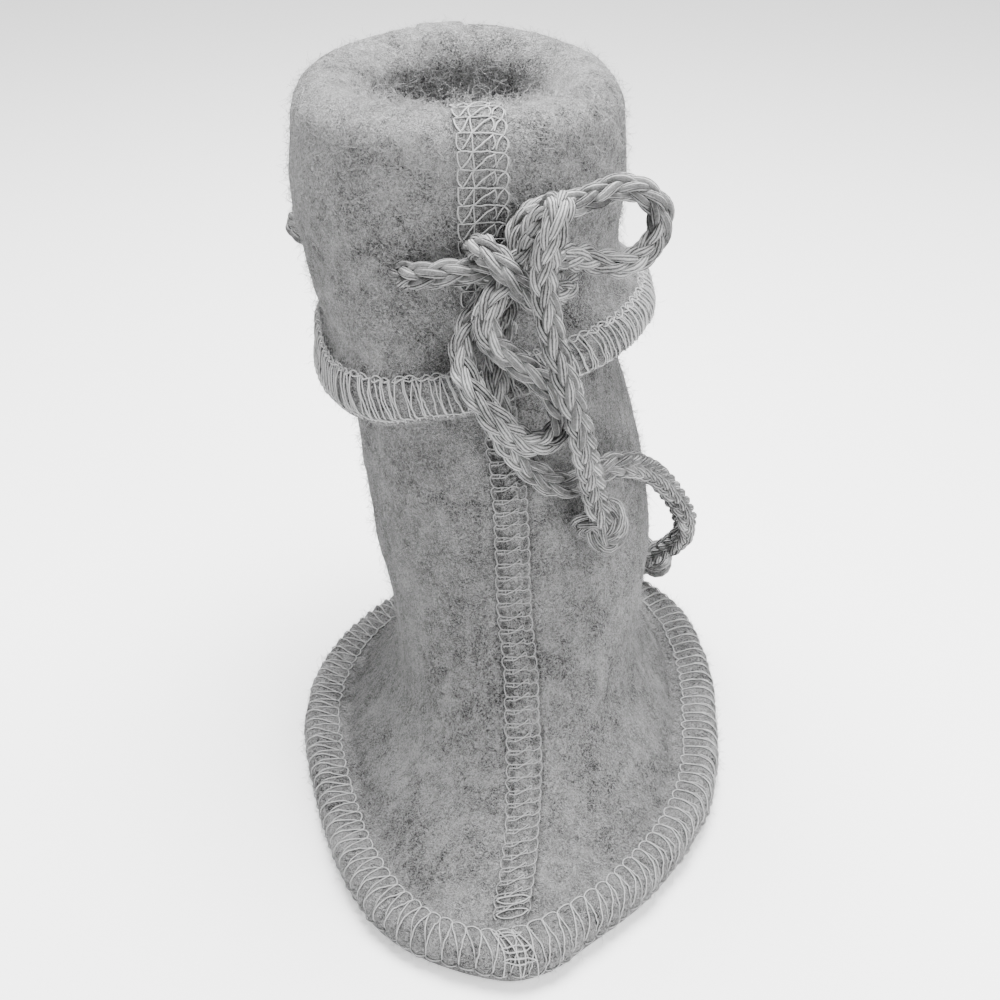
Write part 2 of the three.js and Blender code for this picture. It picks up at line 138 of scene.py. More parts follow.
class Shader:
    def __init__(self, name):
        self.material = bpy.data.materials.new(name)
        self.material.use_nodes = True
        self.tree = self.material.node_tree
        self.surface = self.tree.nodes["Principled BSDF"]

    def node(self, kind, settings, *values, take=0, **named):
        made = self.tree.nodes.new(kind)
        for key, value in settings.items():
            setattr(made, key, value)
        for key, value in [*enumerate(values), *named.items()]:
            self.feed(made.inputs[key.replace("_", " ") if isinstance(key, str) else key], value)
        return Wire(self, made.outputs[take])

    def feed(self, socket, value):
        if isinstance(value, Wire):
            self.tree.links.new(value.socket, socket)
        else:
            socket.default_value = value

    def shaded(self, **sockets):
        for key, value in sockets.items():
            self.feed(self.surface.inputs[key.replace("_", " ")], value)
        return self.material

    def place(self):
        return self.node("ShaderNodeTexCoord", {}, take=3)

    def layer(self, name):
        return self.node("ShaderNodeAttribute", {"attribute_name": name}, take=2)

    def grain(self, place, scale, detail=3.0, roughness=0.55, distortion=0.0):
        return self.node("ShaderNodeTexNoise", {"noise_dimensions": "3D"}, Vector=place, Scale=scale,
                         Detail=detail, Roughness=roughness, Distortion=distortion)

    # Thin curled lines, as of loose wool fibres, where the noise crosses a level
    def fibres(self, place, scale, distortion, level=0.5, thin=14):
        wavy = self.grain(place, scale, 1.5, 0.45, distortion)
        return 1 - ((wavy - level).size() * thin).least(1)

    def range(self, value, low, high, to=0.0, end=1.0):
        return self.node("ShaderNodeMapRange", {"clamp": True}, value, low, high, to, end)

    def mixColour(self, share, a, b):
        made = self.tree.nodes.new("ShaderNodeMix")
        made.data_type = "RGBA"
        self.feed(made.inputs[0], share)
        self.feed(made.inputs[6], a)
        self.feed(made.inputs[7], b)
        return Wire(self, made.outputs[2])

    # From a look's dark grey to its light one
    def shades(self, tone, look):
        return self.mixColour(self.range(tone, 0.0, 1.0), grey(look["dark"]), grey(look["light"]))

    # A round spot, 1 in its middle, from two distances and its half widths
    def pit(self, a, wide, b, tall):
        away = a * a / (wide * wide) + b * b / (tall * tall)
        return 1 - self.range(away, 0.3, 1.3)

    def relief(self, height, distance, strength=1.0, under=None):
        named = {"Height": height, "Distance": distance, "Strength": strength}
        if under is not None:
            named["Normal"] = under
        return self.node("ShaderNodeBump", {}, **named)


def grey(value):
    return (value, value, value, 1)


def makeYarn():
    shader = Shader("knitted_wool")
    place = shader.place()
    along = shader.layer("along")
    around = shader.layer("around")
    tint = shader.layer("tint")
    stray = shader.grain(place, 900, 2.0) * 0.5
    # Ply lines: each ply is light at its crown and darker in the thin valleys between plies, painted shade;
    # the same pattern gives the bump
    plies = ((around * yarn["plies"] + along * yarn["plyTwist"] + stray) * 3.1416).wave().size() ** 0.6
    hairs = shader.grain(place, 3200, 3.0, 0.6, 0.6)
    mottle = shader.grain(place, 420, 2.0)
    # tint is each leg's own random tone, and for the cord's core a painted shade
    tone = plies * 0.75 + (hairs - 0.5) * 0.8 + (mottle - 0.5) * 0.8 + tint * 0.42 - 0.2
    colour = shader.shades(tone, yarn)
    normal = shader.relief(plies * 0.8 + hairs * 0.35, yarn["depth"] * mm, 1.0)
    return shader.shaded(Base_Color=colour, Roughness=0.92, Normal=normal, Specular_IOR_Level=0.15,
                         Sheen_Weight=0.1)


def makeFelt(name, look):
    shader = Shader(name)
    place = shader.place()
    blotch = shader.grain(place, 82, 3.0, 0.6, 0.3)
    mottle = shader.grain(place, 330, 4.0, 0.6, 0.5)
    specks = shader.grain(place, 2300, 3.0, 0.7, 0.8)
    curls = (shader.fibres(place, 700, 3.0, 0.5, 12) + shader.fibres(place, 950, 2.4, 0.45, 12)
             + shader.fibres(place, 1200, 2.0, 0.55, 12))
    tone = (look["middle"] + (blotch - 0.5) * look["blotch"] + (mottle - 0.5) * look["mottle"]
            + (specks - 0.5) * look["specks"] + curls * look["curls"])
    across = shader.layer("across")
    cell = shader.layer("cell")
    seamShadeMask = shader.layer("seamShadeMask")
    step = cell.fraction()
    # Beside the front and back seams: a row of pits at each side and a groove at the right, darkened with
    # painted shade and sunk in the bump
    left = shader.pit(across + 1.95, 0.62, step - 0.66, 0.27)
    right = shader.pit(across - 1.95, 0.5, step - 0.5, 0.3)
    edge = 1 - ((across - 3.05).size() * 2.2).least(1)
    seamPitsAndShade = (left + right * 0.8 + edge * 0.75) * seamShadeMask
    # Painted shade: the felt's colour is darkened in the seam pits and the groove
    tone = tone * (1 - seamPitsAndShade * 0.55)
    colour = shader.shades(tone, look)
    height = specks * 0.35 + curls * 0.3 + mottle * 0.9 - seamPitsAndShade * 0.7
    normal = shader.relief(height, look["depth"] * mm, 0.9)
    return shader.shaded(Base_Color=colour, Roughness=0.96, Normal=normal, Specular_IOR_Level=0.12,
                         Sheen_Weight=0.05, Sheen_Roughness=0.6)


def makePlain(name, dark, light, depth=0.05):
    shader = Shader(name)
    place = shader.place()
    hairs = shader.grain(place, 5200, 2.0)
    colour = shader.mixColour(hairs, grey(dark), grey(light))
    return shader.shaded(Base_Color=colour, Roughness=0.8, Normal=shader.relief(hairs, depth * mm, 0.6),
                         Specular_IOR_Level=0.25)


yarn = {"dark": 0.012, "light": 0.44, "plies": 8, "plyTwist": 0.7, "depth": 0.42}
feltLook = {"dark": 0.018, "light": 0.37, "depth": 0.55, "middle": 0.17, "blotch": 0.85, "mottle": 0.9,
            "specks": 0.75, "curls": 0.4}
soleLook = {**feltLook, "light": 0.3}

yarnMaterial = makeYarn()
feltMaterial = makeFelt("melange_felt", feltLook)
soleMaterial = makeFelt("sole_felt", soleLook)
threadMaterial = makePlain("sewing_thread", 0.27, 0.45)
dullThreadMaterial = makePlain("seam_thread", 0.2, 0.38)
# A lighter copy of the sewing thread for the hem: painted light on the hem's threads
paintedLightHemThreadMaterial = makePlain("hem_thread", 0.29, 0.5)
fuzzMaterial = makePlain("loose_wool", 0.12, 0.5)


# A geometry tree that turns curves into tubes: threads, yarn and fibres
def socketOf(tree, name, kind, value=None):
    made = tree.interface.new_socket(name, in_out="INPUT", socket_type=kind)
    if value is not None:
        made.default_value = value
    return made


def treeNode(tree, kind, settings=None, **links):
    made = tree.nodes.new(kind)
    for key, value in (settings or {}).items():
        setattr(made, key, value)
    for key, value in links.items():
        socket = made.inputs[key.replace("_", " ")]
        if isinstance(value, bpy.types.NodeSocket):
            tree.links.new(value, socket)
        else:
            socket.default_value = value
    return made


def makeTubeTree():
    tree = bpy.data.node_groups.new("tubes along curves", "GeometryNodeTree")
    socketOf(tree, "Geometry", "NodeSocketGeometry")
    socketOf(tree, "Thickness", "NodeSocketFloat", 0.0002)
    socketOf(tree, "Sides", "NodeSocketInt", 6)
    socketOf(tree, "Material", "NodeSocketMaterial")
    tree.interface.new_socket("Geometry", in_out="OUTPUT", socket_type="NodeSocketGeometry")
    given = tree.nodes.new("NodeGroupInput").outputs
    share = treeNode(tree, "GeometryNodeSplineParameter").outputs["Factor"]
    curves = treeNode(tree, "GeometryNodeStoreNamedAttribute", {"data_type": "FLOAT", "domain": "POINT"},
                      Geometry=given["Geometry"], Name="along", Value=share)
    ring = treeNode(tree, "GeometryNodeCurvePrimitiveCircle", {"mode": "RADIUS"},
                    Resolution=given["Sides"], Radius=given["Thickness"])
    section = treeNode(tree, "GeometryNodeStoreNamedAttribute", {"data_type": "FLOAT", "domain": "POINT"},
                       Geometry=ring.outputs["Curve"], Name="around",
                       Value=treeNode(tree, "GeometryNodeSplineParameter").outputs["Factor"])
    tubes = treeNode(tree, "GeometryNodeCurveToMesh", None, Curve=curves.outputs["Geometry"],
                     Profile_Curve=section.outputs["Geometry"])
    tubes.inputs["Fill Caps"].default_value = True
    radius = [socket for socket in tubes.inputs if socket.name == "Scale"]
    if radius:
        tree.links.new(treeNode(tree, "GeometryNodeInputRadius").outputs[0], radius[0])
    smooth = treeNode(tree, "GeometryNodeSetShadeSmooth", None, Geometry=tubes.outputs["Mesh"])
    real = treeNode(tree, "GeometryNodeRealizeInstances", None, Geometry=smooth.outputs["Geometry"])
    painted = treeNode(tree, "GeometryNodeSetMaterial", None, Geometry=real.outputs["Geometry"],
                       Material=given["Material"])
    tree.links.new(painted.outputs["Geometry"], tree.nodes.new("NodeGroupOutput").inputs["Geometry"])
    return tree


def setInput(modifier, name, value):
    for item in modifier.node_group.interface.items_tree:
        if item.item_type == "SOCKET" and item.in_out == "INPUT" and item.name == name:
            modifier[item.identifier] = value


# Runs a geometry tree on an object and keeps the result as a plain mesh
def grown(name, source, tree, material, **inputs):
    addToScene(source)
    modifier = source.modifiers.new("grow", "NODES")
    modifier.node_group = tree
    setInput(modifier, "Material", material)
    for key, value in inputs.items():
        setInput(modifier, key, value)
    evaluated = source.evaluated_get(bpy.context.evaluated_depsgraph_get())
    mesh = bpy.data.meshes.new_from_object(evaluated, preserve_all_data_layers=True,
                                           depsgraph=bpy.context.evaluated_depsgraph_get())
    mesh.name = name
    bpy.data.objects.remove(source)
    print(f"  {name}: {sum(len(face.vertices) - 2 for face in mesh.polygons)} triangles")
    return addToScene(bpy.data.objects.new(name, mesh))


tubeTree = makeTubeTree()


# Each run is a list of points in millimetres, with a share of the thickness for each and a tint
def tubes(name, runs, thickness, sides, material):
    curves = bpy.data.curves.new(name, "CURVE")
    curves.dimensions = "3D"
    tints = []
    for points, shares, tint in runs:
        spline = curves.splines.new("POLY")
        spline.points.add(len(points) - 1)
        flat = np.ones((len(points), 4))
        flat[:, :3] = np.array(points) * mm
        spline.points.foreach_set("co", flat.ravel())
        spline.points.foreach_set("radius", np.array(shares, dtype=float))
        tints.append((tint, len(points)))
    made = grown(name, bpy.data.objects.new(name + "_lines", curves), tubeTree, material,
                 Thickness=thickness * mm, Sides=sides)
    ringCorners = [value for value, count in tints for _ in range(count * sides)]
    layer = made.data.attributes.new("tint", "FLOAT", "POINT")
    if len(ringCorners) == len(made.data.vertices):
        layer.data.foreach_set("value", ringCorners)
    else:
        print("  tint left even:", name, len(ringCorners), len(made.data.vertices))
    return made


def mix(a, b, share):
    return a + (b - a) * share


# Sizes of the shoe in millimetres and its outlines, the same as the part's own
shoe = {
    "thickness": 3.0, "gap": 0.3, "brim": 7.4, "length": 125, "width": 73, "widest": 8.5, "toePoint": 1.17,
    "bend": 3.5, "toeSpring": 1.0, "sideCurl": 1.4, "heelCurl": 0.6,
    "ankleHeight": 50, "ankleWidth": 48.6, "ankleDepth": 67, "heelSet": 1.6,
    "foldHeight": 113.5, "foldFrontRise": 0.9, "foldBackRise": 0.8, "foldRadius": 5.9,
    "collarWidth": 54, "collarDepth": 61.8, "collarShift": -1.5, "collarLean": -10.6, "collarTwist": 0.18,
    "cuffDrop": 40.5, "hemSideTilt": 5.7, "hemFrontRise": 2.8, "hemGap": 3.9, "hemSwell": 0.9,
}
# rise, front, back, side, lean, twist, point: from the crease above the brim to the ankle
footTable = [
    (0, 0, 0, 0, 0, 0, 1.17),
    (0.09, 0.2, -0.1, 0.6, -0.03, -0.1, 1.15),
    (0.17, 0.37, -0.2, 1.15, -0.04, -0.2, 1.12),
    (0.28, 0.56, -0.2, 1.58, -0.04, -0.25, 1.08),
    (0.42, 0.7, 0, 1.58, -0.02, -0.28, 1.05),
    (0.58, 0.83, 0.35, 1.32, 0, -0.25, 1.02),
    (0.79, 0.93, 0.75, 1.04, 0.14, -0.1, 1),
    (1, 1, 1, 1, 0.29, 0.2, 1),
]
# rise, close, lean, twist: from the ankle to the fold
shaftTable = [
    (0.16, 0.1, 0.46, 0.55),
    (0.32, 0.26, 0.63, 0.75),
    (0.48, 0.5, 0.79, 0.88),
    (0.65, 0.72, 0.93, 0.96),
    (0.82, 0.9, 1, 1),
    (1, 1, 1, 1),
]
# drop, stand, right: from the fold to the hem
cuffTable = [
    (0, 1, 0),
    (0.22, 1, 0),
    (0.44, 0.4, 0),
    (0.62, -0.5, 0),
    (0.76, -0.7, 0.04),
    (0.87, 0.12, 0.12),
    (1, 0, 0.1),
]
# place along the foot from toe to heel, turn
footLine = [
    (-1, -0.17), (-0.88, -1), (-0.7, -0.74), (-0.35, -0.23), (0.1, -0.43), (0.4, -0.11), (0.66, 0.46),
    (1, 0.86),
]


# Reads a table smoothly at a value of its first column
def readSmooth(table, value):
    table = np.array(table, dtype=float)
    keys, rows = table[:, 0], table[:, 1:]
    value = np.clip(value, keys[0], keys[-1])
    slope = np.diff(rows, axis=0) / np.diff(keys)[:, None]
    lean = np.vstack([slope[:1], (slope[1:] + slope[:-1]) / 2, slope[-1:]])
    i = np.clip(np.searchsorted(keys, value, side="right") - 1, 0, len(keys) - 2)
    wide = (keys[i + 1] - keys[i])[..., None] if np.ndim(value) else keys[i + 1] - keys[i]
    t = (value - keys[i])[..., None] / wide if np.ndim(value) else (value - keys[i]) / wide
    return (rows[i] * (2 * t**3 - 3 * t**2 + 1) + lean[i] * wide * (t**3 - 2 * t**2 + t)
            + rows[i + 1] * (3 * t**2 - 2 * t**3) + lean[i + 1] * wide * (t**3 - t**2))


# height, how far the front seam lies to the right of the middle
seamDrift = [
    (0, 3.1), (6.3, 3.1), (14, 3.0), (22, 2.3), (34, 1.5), (50, 1.1), (75, 0.5), (95, 0.2), (122, 0.1),
]


# Columns once round the shoe: near a seam they keep a distance from it, further off an angle
def makeColumns(seamStep, seamHalf, sideSteps):
    first, between = 0.42, 4  # the angle in radians where the sides start, and the columns that lead up to it
    near = [(i * seamStep, 0.0, 0.0) for i in range(round(seamHalf / seamStep) + 1)]
    near += [(seamHalf, first, (i + 1) / (between + 1)) for i in range(between)]
    side = [(0.0, mix(first, math.pi - first, i / sideSteps), 1.0) for i in range(sideSteps + 1)]
    half = [(offset, angle, weight, 1) for offset, angle, weight in near]
    half += [(*item, 1) for item in side]
    half += [(offset, math.pi - angle if weight else math.pi, weight, -1)
             for offset, angle, weight in near[::-1]]
    left = [(offset, angle, weight, end, -1) for offset, angle, weight, end in half[1:-1][::-1]]
    return np.array([(*item, 1) for item in half] + left)


columnStep = 0.42
columns = makeColumns(columnStep, 4.2, 66)


def ringColumns(ring, cols=columns):
    offset, side, weight, end, sign = cols.T
    drift = np.interp(ring.get("level", 113.5), *np.array(seamDrift).T)
    aside = np.where(end > 0, offset * sign + drift, offset * sign)
    share = np.minimum(1, np.abs(aside) / ring["half"])
    tilt = np.where(end > 0, np.arcsin(share ** (1 / ring.get("point", 1))), math.pi - np.arcsin(share))
    angle = mix(np.where(aside < 0, -1, 1) * tilt, sign * side, weight) + ring.get("twist", 0)
    forward, sideways = np.cos(angle), np.sin(angle)
    power = np.where(forward > 0, ring.get("point", 1), 1)
    y = ring["y"] - forward * np.where(forward > 0, ring["front"], ring["back"])
    x = ring["x"] + np.sign(sideways) * np.abs(sideways) ** power * ring["half"]
    if ring.get("curve", 0):
        x = x + shoe["bend"] * readSmooth(footLine, y / (shoe["length"] / 2))[:, 0] * ring["curve"]
    return x, y, forward, sideways


def inset(ring, amount):
    return {**ring, **{key: ring[key] - amount for key in ("half", "front", "back")}}


soleRing = {
    "x": 0, "y": shoe["widest"], "half": shoe["width"] / 2, "front": shoe["length"] / 2 + shoe["widest"],
    "back": shoe["length"] / 2 - shoe["widest"], "point": shoe["toePoint"], "curve": 1, "level": 0,
}
creaseRing = inset(soleRing, shoe["brim"])
topOfSole = shoe["thickness"]
underUpper = topOfSole + shoe["gap"]
topOfBrim = underUpper + shoe["thickness"]
foldMid = shoe["foldRadius"] - shoe["thickness"]
heelCrease = shoe["length"] / 2 - shoe["brim"]
ankleBack = heelCrease - shoe["heelSet"]
ankleY = ankleBack - shoe["ankleDepth"] / 2
collarHalf = shoe["collarWidth"] / 2 - shoe["foldRadius"]
collarReach = shoe["collarDepth"] / 2 - shoe["foldRadius"]
foldRing = {
    "x": shoe["collarLean"], "y": ankleY + shoe["collarShift"], "half": collarHalf, "front": collarReach,
    "back": collarReach, "twist": shoe["collarTwist"],
}
neckRing = inset(foldRing, foldMid)
ankleRing = {"y": ankleY, "half": shoe["ankleWidth"] / 2, "front": shoe["ankleDepth"] / 2,
             "back": shoe["ankleDepth"] / 2}


# The upper's outlines as one table of heights: x, y, half, front, back, point, twist, curve
def makeOutlines():
    rows = []
    for rise, front, back, side, lean, twist, point in footTable:
        tip = mix(creaseRing["y"] - creaseRing["front"], ankleRing["y"] - ankleRing["front"], front)
        heel = mix(heelCrease, ankleBack, back)
        middle = mix(creaseRing["y"], ankleY, rise)
        rows.append((mix(topOfBrim, shoe["ankleHeight"], rise), shoe["collarLean"] * lean, middle,
                     mix(creaseRing["half"], ankleRing["half"], side), middle - tip, heel - middle, point,
                     shoe["collarTwist"] * twist, 1 - rise))
    for rise, close, lean, twist in shaftTable:
        sizes = [mix(ankleRing[key], neckRing[key], close) for key in ("y", "half", "front", "back")]
        rows.append((mix(shoe["ankleHeight"], shoe["foldHeight"], rise), shoe["collarLean"] * lean, *sizes, 1,
                     shoe["collarTwist"] * twist, 0))
    return rows


outlines = makeOutlines()


def ringAt(height):
    keys = ("x", "y", "half", "front", "back", "point", "twist", "curve")
    ring = dict(zip(keys, readSmooth(outlines, height)))
    ring["curve"] = max(0.0, ring["curve"])
    ring["level"] = height
    return ring


def brimRow(out, height, extra=0.0, cols=columns):
    x, y, forward, sideways = ringColumns(inset(soleRing, shoe["brim"] * (1 - out) - extra), cols)
    curl = (np.maximum(0, forward) ** 4 * shoe["toeSpring"] + np.maximum(0, -forward) ** 2 * shoe["heelCurl"]
            + sideways**2 * shoe["sideCurl"]) * out * abs(out)
    return np.stack([x, y, height + np.maximum(curl, 0)], axis=1)


def levelRow(ring, height):
    x, y, _, _ = ringColumns(ring)
    return np.stack([x, y, np.full_like(x, height)], axis=1)


def foldLevel(forward):
    rise = np.where(forward > 0, shoe["foldFrontRise"], shoe["foldBackRise"])
    return shoe["foldHeight"] + rise * forward**2


def foldRow(radius, turn):
    x, y, forward, _ = ringColumns(inset(foldRing, -radius * math.cos(turn)))
    return np.stack([x, y, foldLevel(forward) + radius * math.sin(turn)], axis=1)


# degrees round from the front seam, how much lower the hem hangs there
hemLine = [
    (-180, 0), (-125, -1.0), (-95, -2.8), (-70, -1.8), (-45, 0.9), (-30, 1.7), (-10, 0.9), (15, 0), (180, 0),
]


def cuffRow(drop, inward, below=0.0):
    _, _, forward, sideways = ringColumns(foldRing)
    top = foldLevel(forward)
    below = below + np.interp(np.degrees(np.arctan2(sideways, forward)), *np.array(hemLine).T) * drop**2
    hem = (shoe["foldHeight"] - shoe["cuffDrop"] + shoe["hemSideTilt"] * sideways
           + shoe["hemFrontRise"] * np.maximum(0, forward) ** 2)
    height = mix(top, hem, drop) - below
    stand, right = readSmooth(cuffTable, drop)
    out = mix(shoe["hemGap"] + shoe["thickness"], foldMid + shoe["foldRadius"], stand) - inward
    row = np.empty((len(columns), 3))
    for i, level in enumerate(height):
        x, y, _, _ = ringColumns(inset(ringAt(level), -out), columns[i : i + 1])
        row[i] = (x[0] - shoe["collarLean"] * right, y[0], level)
    return row


print("drawcord")


# Points along a smooth line through the given ones, about step apart
def smoothLine(points, step):
    points = [Vector(point) for point in points]
    ends = [points[0] * 2 - points[1], *points, points[-1] * 2 - points[-2]]
    line = []
    for a, b, c, d in zip(ends, ends[1:], ends[2:], ends[3:]):
        t1 = max((b - a).length, 1e-6) ** 0.5
        t2 = t1 + max((c - b).length, 1e-6) ** 0.5
        t3 = t2 + max((d - c).length, 1e-6) ** 0.5
        count = max(1, math.ceil((c - b).length / step))
        for i in range(count):
            t = mix(t1, t2, i / count)
            ab = a * ((t1 - t) / t1) + b * (t / t1)
            bc = b * ((t2 - t) / (t2 - t1)) + c * ((t - t1) / (t2 - t1))
            cd = c * ((t3 - t) / (t3 - t2)) + d * ((t - t2) / (t3 - t2))
            abc = ab * ((t2 - t) / t2) + bc * (t / t2)
            bcd = bc * ((t3 - t) / (t3 - t1)) + cd * ((t - t1) / (t3 - t1))
            line.append(abc * ((t2 - t) / (t2 - t1)) + bcd * ((t - t1) / (t2 - t1)))
    return [*line, points[-1]]


def lengthOf(points):
    return sum((b - a).length for a, b in zip(points, points[1:]))


# Places and turning frames along a line, read by distance
class Path:
    def __init__(self, points, step=0.5):
        self.points = smoothLine(points, step)
        self.distance = [0.0]
        for a, b in zip(self.points, self.points[1:]):
            self.distance.append(self.distance[-1] + (b - a).length)
        self.length = self.distance[-1]
        self.across = []
        heading = (self.points[1] - self.points[0]).normalized()
        side = heading.orthogonal().normalized()
        for i, point in enumerate(self.points):
            following = self.points[min(i + 1, len(self.points) - 1)]
            before = self.points[max(i - 1, 0)]
            heading = (following - before).normalized()
            side = (side - heading * side.dot(heading)).normalized()
            self.across.append((side.copy(), heading.cross(side)))

    def at(self, distance, angle, radius):
        distance = min(max(distance, 0.0), self.length - 1e-6)
        i = np.searchsorted(self.distance, distance, side="right") - 1
        i = min(max(int(i), 0), len(self.points) - 2)
        share = (distance - self.distance[i]) / (self.distance[i + 1] - self.distance[i])
        centre = self.points[i].lerp(self.points[i + 1], share)
        side = self.across[i][0].lerp(self.across[i + 1][0], share)
        other = self.across[i][1].lerp(self.across[i + 1][1], share)
        return centre + (side * math.cos(angle) + other * math.sin(angle)) * radius


cord = {
    "diameter": 4.6,
    "columns": 6,
    "stitch": 4.0,
    "legLength": 5.4,
    "legWidth": 0.8,
    "slant": 0.5,
    "coreRadius": 1.3,
    "loose": 0.16,
}


# The knitted cord: two rows of slanting stitch legs to each rib, round a core painted dark as painted shade
# in the gaps between the legs
def knitRuns(points, seed, scale=1.0):
    dice = random.Random(seed)
    path = Path(points)
    core = [path.at(path.length * i / 60, 0, 0) for i in range(61)]
    # The core's tint of -0.5 is painted shade: it darkens the gaps seen between the legs
    runs = [(core, [cord["coreRadius"] / cord["legWidth"] * scale] * len(core), -0.5)]
    count = max(1, round(path.length / cord["stitch"]))
    pitch = path.length / count
    for column in range(cord["columns"]):
        middle = 2 * math.pi * column / cord["columns"]
        turn = cord["slant"] * (1 if column % 2 else -1)
        for row in range(-1, count + 1):
            start = (row + 0.5 * (column % 2)) * pitch
            wobble = dice.gauss(0, cord["loose"])
            tint = dice.gauss(0.25, 0.3)
            leg = []
            shares = []
            for i in range(9):
                share = i / 8
                distance = start + cord["legLength"] * (share - 0.1)
                if distance < -0.6 or distance > path.length + 0.6:
                    continue
                bulge = math.sin(math.pi * share)
                angle = middle + turn * (share - 0.5) * 2 + wobble * 0.25
                radius = (1.0 + 0.52 * bulge + wobble * 0.4) * scale
                leg.append(path.at(distance, angle, radius))
                shares.append((0.42 + 0.58 * bulge ** 0.7) * scale)
            if len(leg) > 3:
                runs.append((leg, shares, tint))
    return runs


def knitCord(name, routes, node, seed, scale=1.0):
    runs = []
    for i, route in enumerate(routes):
        runs += knitRuns(route, seed * 10 + i, scale)
    made = tubes(name, runs, cord["legWidth"], 8, yarnMaterial)
    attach(made, "root")
    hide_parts(node)
    return made


# The bow's places, from the place on the cuff's front seam level with the knot
bowPlace = Vector((-5.58, -12.43, 99.3))
knotPlace = (4.5, -5.3, 0)
routes = {
    "barLeft": [(-8.8, -3.5, -1.7), (-5.8, -4.3, -1), (-1.6, -4.8, -0.4), knotPlace],
    "barRight": [(10.8, 1.2, -5.9), (9, -1, -4.7), (7.1, -2.8, -2.9), knotPlace],
    "loopSide": [
        knotPlace, (5.8, -4.4, 1.6), (5.2, -3.9, 3.9), (6, -2.5, 6.1), (8, -0.9, 7.6),
        (11.9, 1.7, 7.6), (16.2, 4.4, 8), (20.7, 6.4, 9.1), (24.8, 7.4, 7.6), (26.9, 7.9, 4.3),
        (26.4, 7.9, 0.4), (24, 6.9, -2.2), (20.1, 4.4, -2.6), (16.2, 3.8, -1.7), (12.6, 0.6, 0.1),
        (9, -2.7, 0.5), knotPlace,
    ],
    "loopFront": [
        knotPlace, (3.1, -7.7, -1.7), (1.2, -9.6, -3.8), (0.5, -10.2, -6.9), (1.9, -10.3, -10.1),
        (5.4, -10.4, -12.8), (8.7, -10.2, -15.6), (11.2, -9.4, -19.3), (12.1, -8.4, -23.3),
        (10.6, -8.4, -26), (7.4, -10.1, -26.2), (3.8, -12.9, -22.8), (0.8, -13.8, -19),
        (-1.7, -11.9, -16), (-3, -8.6, -13.1), (-2.5, -6.8, -9.6), (-0.2, -5.6, -6.2), knotPlace,
    ],
    "endFront": [
        knotPlace, (7, -8.1, 4), (8.1, -8.6, 6.9), (9.5, -8.8, 10.1), (11, -11.1, 12.4),
        (11, -15.6, 11.9), (9.8, -15.2, 7.5), (9.1, -13.6, 2.3), (9.5, -13.2, -2.6),
        (10.5, -14, -7.3), (11.9, -14.8, -11.7), (13.3, -14.8, -16.5), (14.8, -13.3, -22.5),
        (16, -9.6, -29.3), (17, -5.6, -35.5), (17.8, -2.6, -39.9), (19.2, 0.7, -46.3),
    ],
    "endSide": [
        knotPlace, (3.4, -3.9, -5.4), (2.7, -4.6, -9.2), (2.2, -5.6, -12.7), (1.9, -6.8, -16.7),
        (2, -7.7, -20.4), (2.8, -6.1, -26.3), (5.2, -2.8, -31.9), (8.4, -1.2, -36.1),
        (11.9, 0.5, -38.8), (15.5, 2.9, -39.4), (19.1, 6.4, -38.7), (23.2, 11.4, -40.5),
        (26.1, 18.2, -44.5), (29.4, 25.8, -50.1), (32.4, 32.4, -56.7), (35.2, 39.4, -64.4),
        (36, 47.4, -73), (33.7, 55.4, -80.5), (30.4, 62.4, -86.7),
    ],
}


def bowRoute(name):
    return [Vector(point) + bowPlace for point in routes[name]]


# From the place where a loop or end leaves the knot
def outside(points, start, end=None):
    line = smoothLine(points, 0.8)
    kept = []
    gone = 0.0
    for a, b in zip(line, line[1:]):
        if gone >= start and (end is None or gone <= end):
            kept.append(a)
        gone += (b - a).length
    if end is None:
        kept.append(line[-1])
    return kept[::3] + ([kept[-1]] if (len(kept) - 1) % 3 else [])


# A small overhand knot: three crossings round a ring
def overhand(centre, size, turn):
    points = []
    for i in range(25):
        t = 2 * math.pi * i / 24
        flat = Vector((math.sin(t) + 2 * math.sin(2 * t), math.cos(t) - 2 * math.cos(2 * t),
                       -math.sin(3 * t)))
        flat = Vector((flat.x * math.cos(turn) - flat.y * math.sin(turn), flat.z * 1.1,
                       flat.x * math.sin(turn) + flat.y * math.cos(turn)))
        points.append(Vector(centre) + flat * size)
    return points


knot = bowPlace + Vector(knotPlace)
root = 8.0  # how far the loops and ends run inside the knot
loopSide = bowRoute("loopSide")
loopFront = bowRoute("loopFront")
endFront = bowRoute("endFront")
endSide = bowRoute("endSide")


def lineLength(points):
    return lengthOf(smoothLine(points, 0.8))


loopSideFree = outside(loopSide, root, lineLength(loopSide) - root)
loopFrontFree = outside(loopFront, root, lineLength(loopFront) - root)
endFrontFree = outside(endFront, root)
endSideFree = outside(endSide, root)

knitCord("drawcord_left", [[(-18.2, -11.0, 95.8), (-16.6, -13.6, 96.8)] + bowRoute("barLeft")],
         "drawcord_bar_left", 1)
knitCord("drawcord_right", [[(7.2, -5.6, 92.4), (6.4, -8.2, 92.6)] + bowRoute("barRight")],
         "drawcord_bar_right", 2)
backCord = {"drop": 23, "angle": 100, "clear": 3.4}


# A place on the cuff, or clear of it, from its angle round the fold's outline
def cuffPlace(angle, height, clear):
    stand, right = readSmooth(cuffTable, (shoe["foldHeight"] - height) / shoe["cuffDrop"])
    out = mix(shoe["hemGap"] + shoe["thickness"], foldMid + shoe["foldRadius"], stand) + clear
    sign = math.copysign(1, math.sin(angle))
    ring = ringAt(height)
    turn = np.array([(0.0, abs((angle + math.pi) % (2 * math.pi) - math.pi), 1.0, 1, sign)])
    x, y, _, _ = ringColumns({**inset(ring, -out), "twist": 0}, turn)
    return Vector((x[0] - shoe["collarLean"] * right, y[0], height))


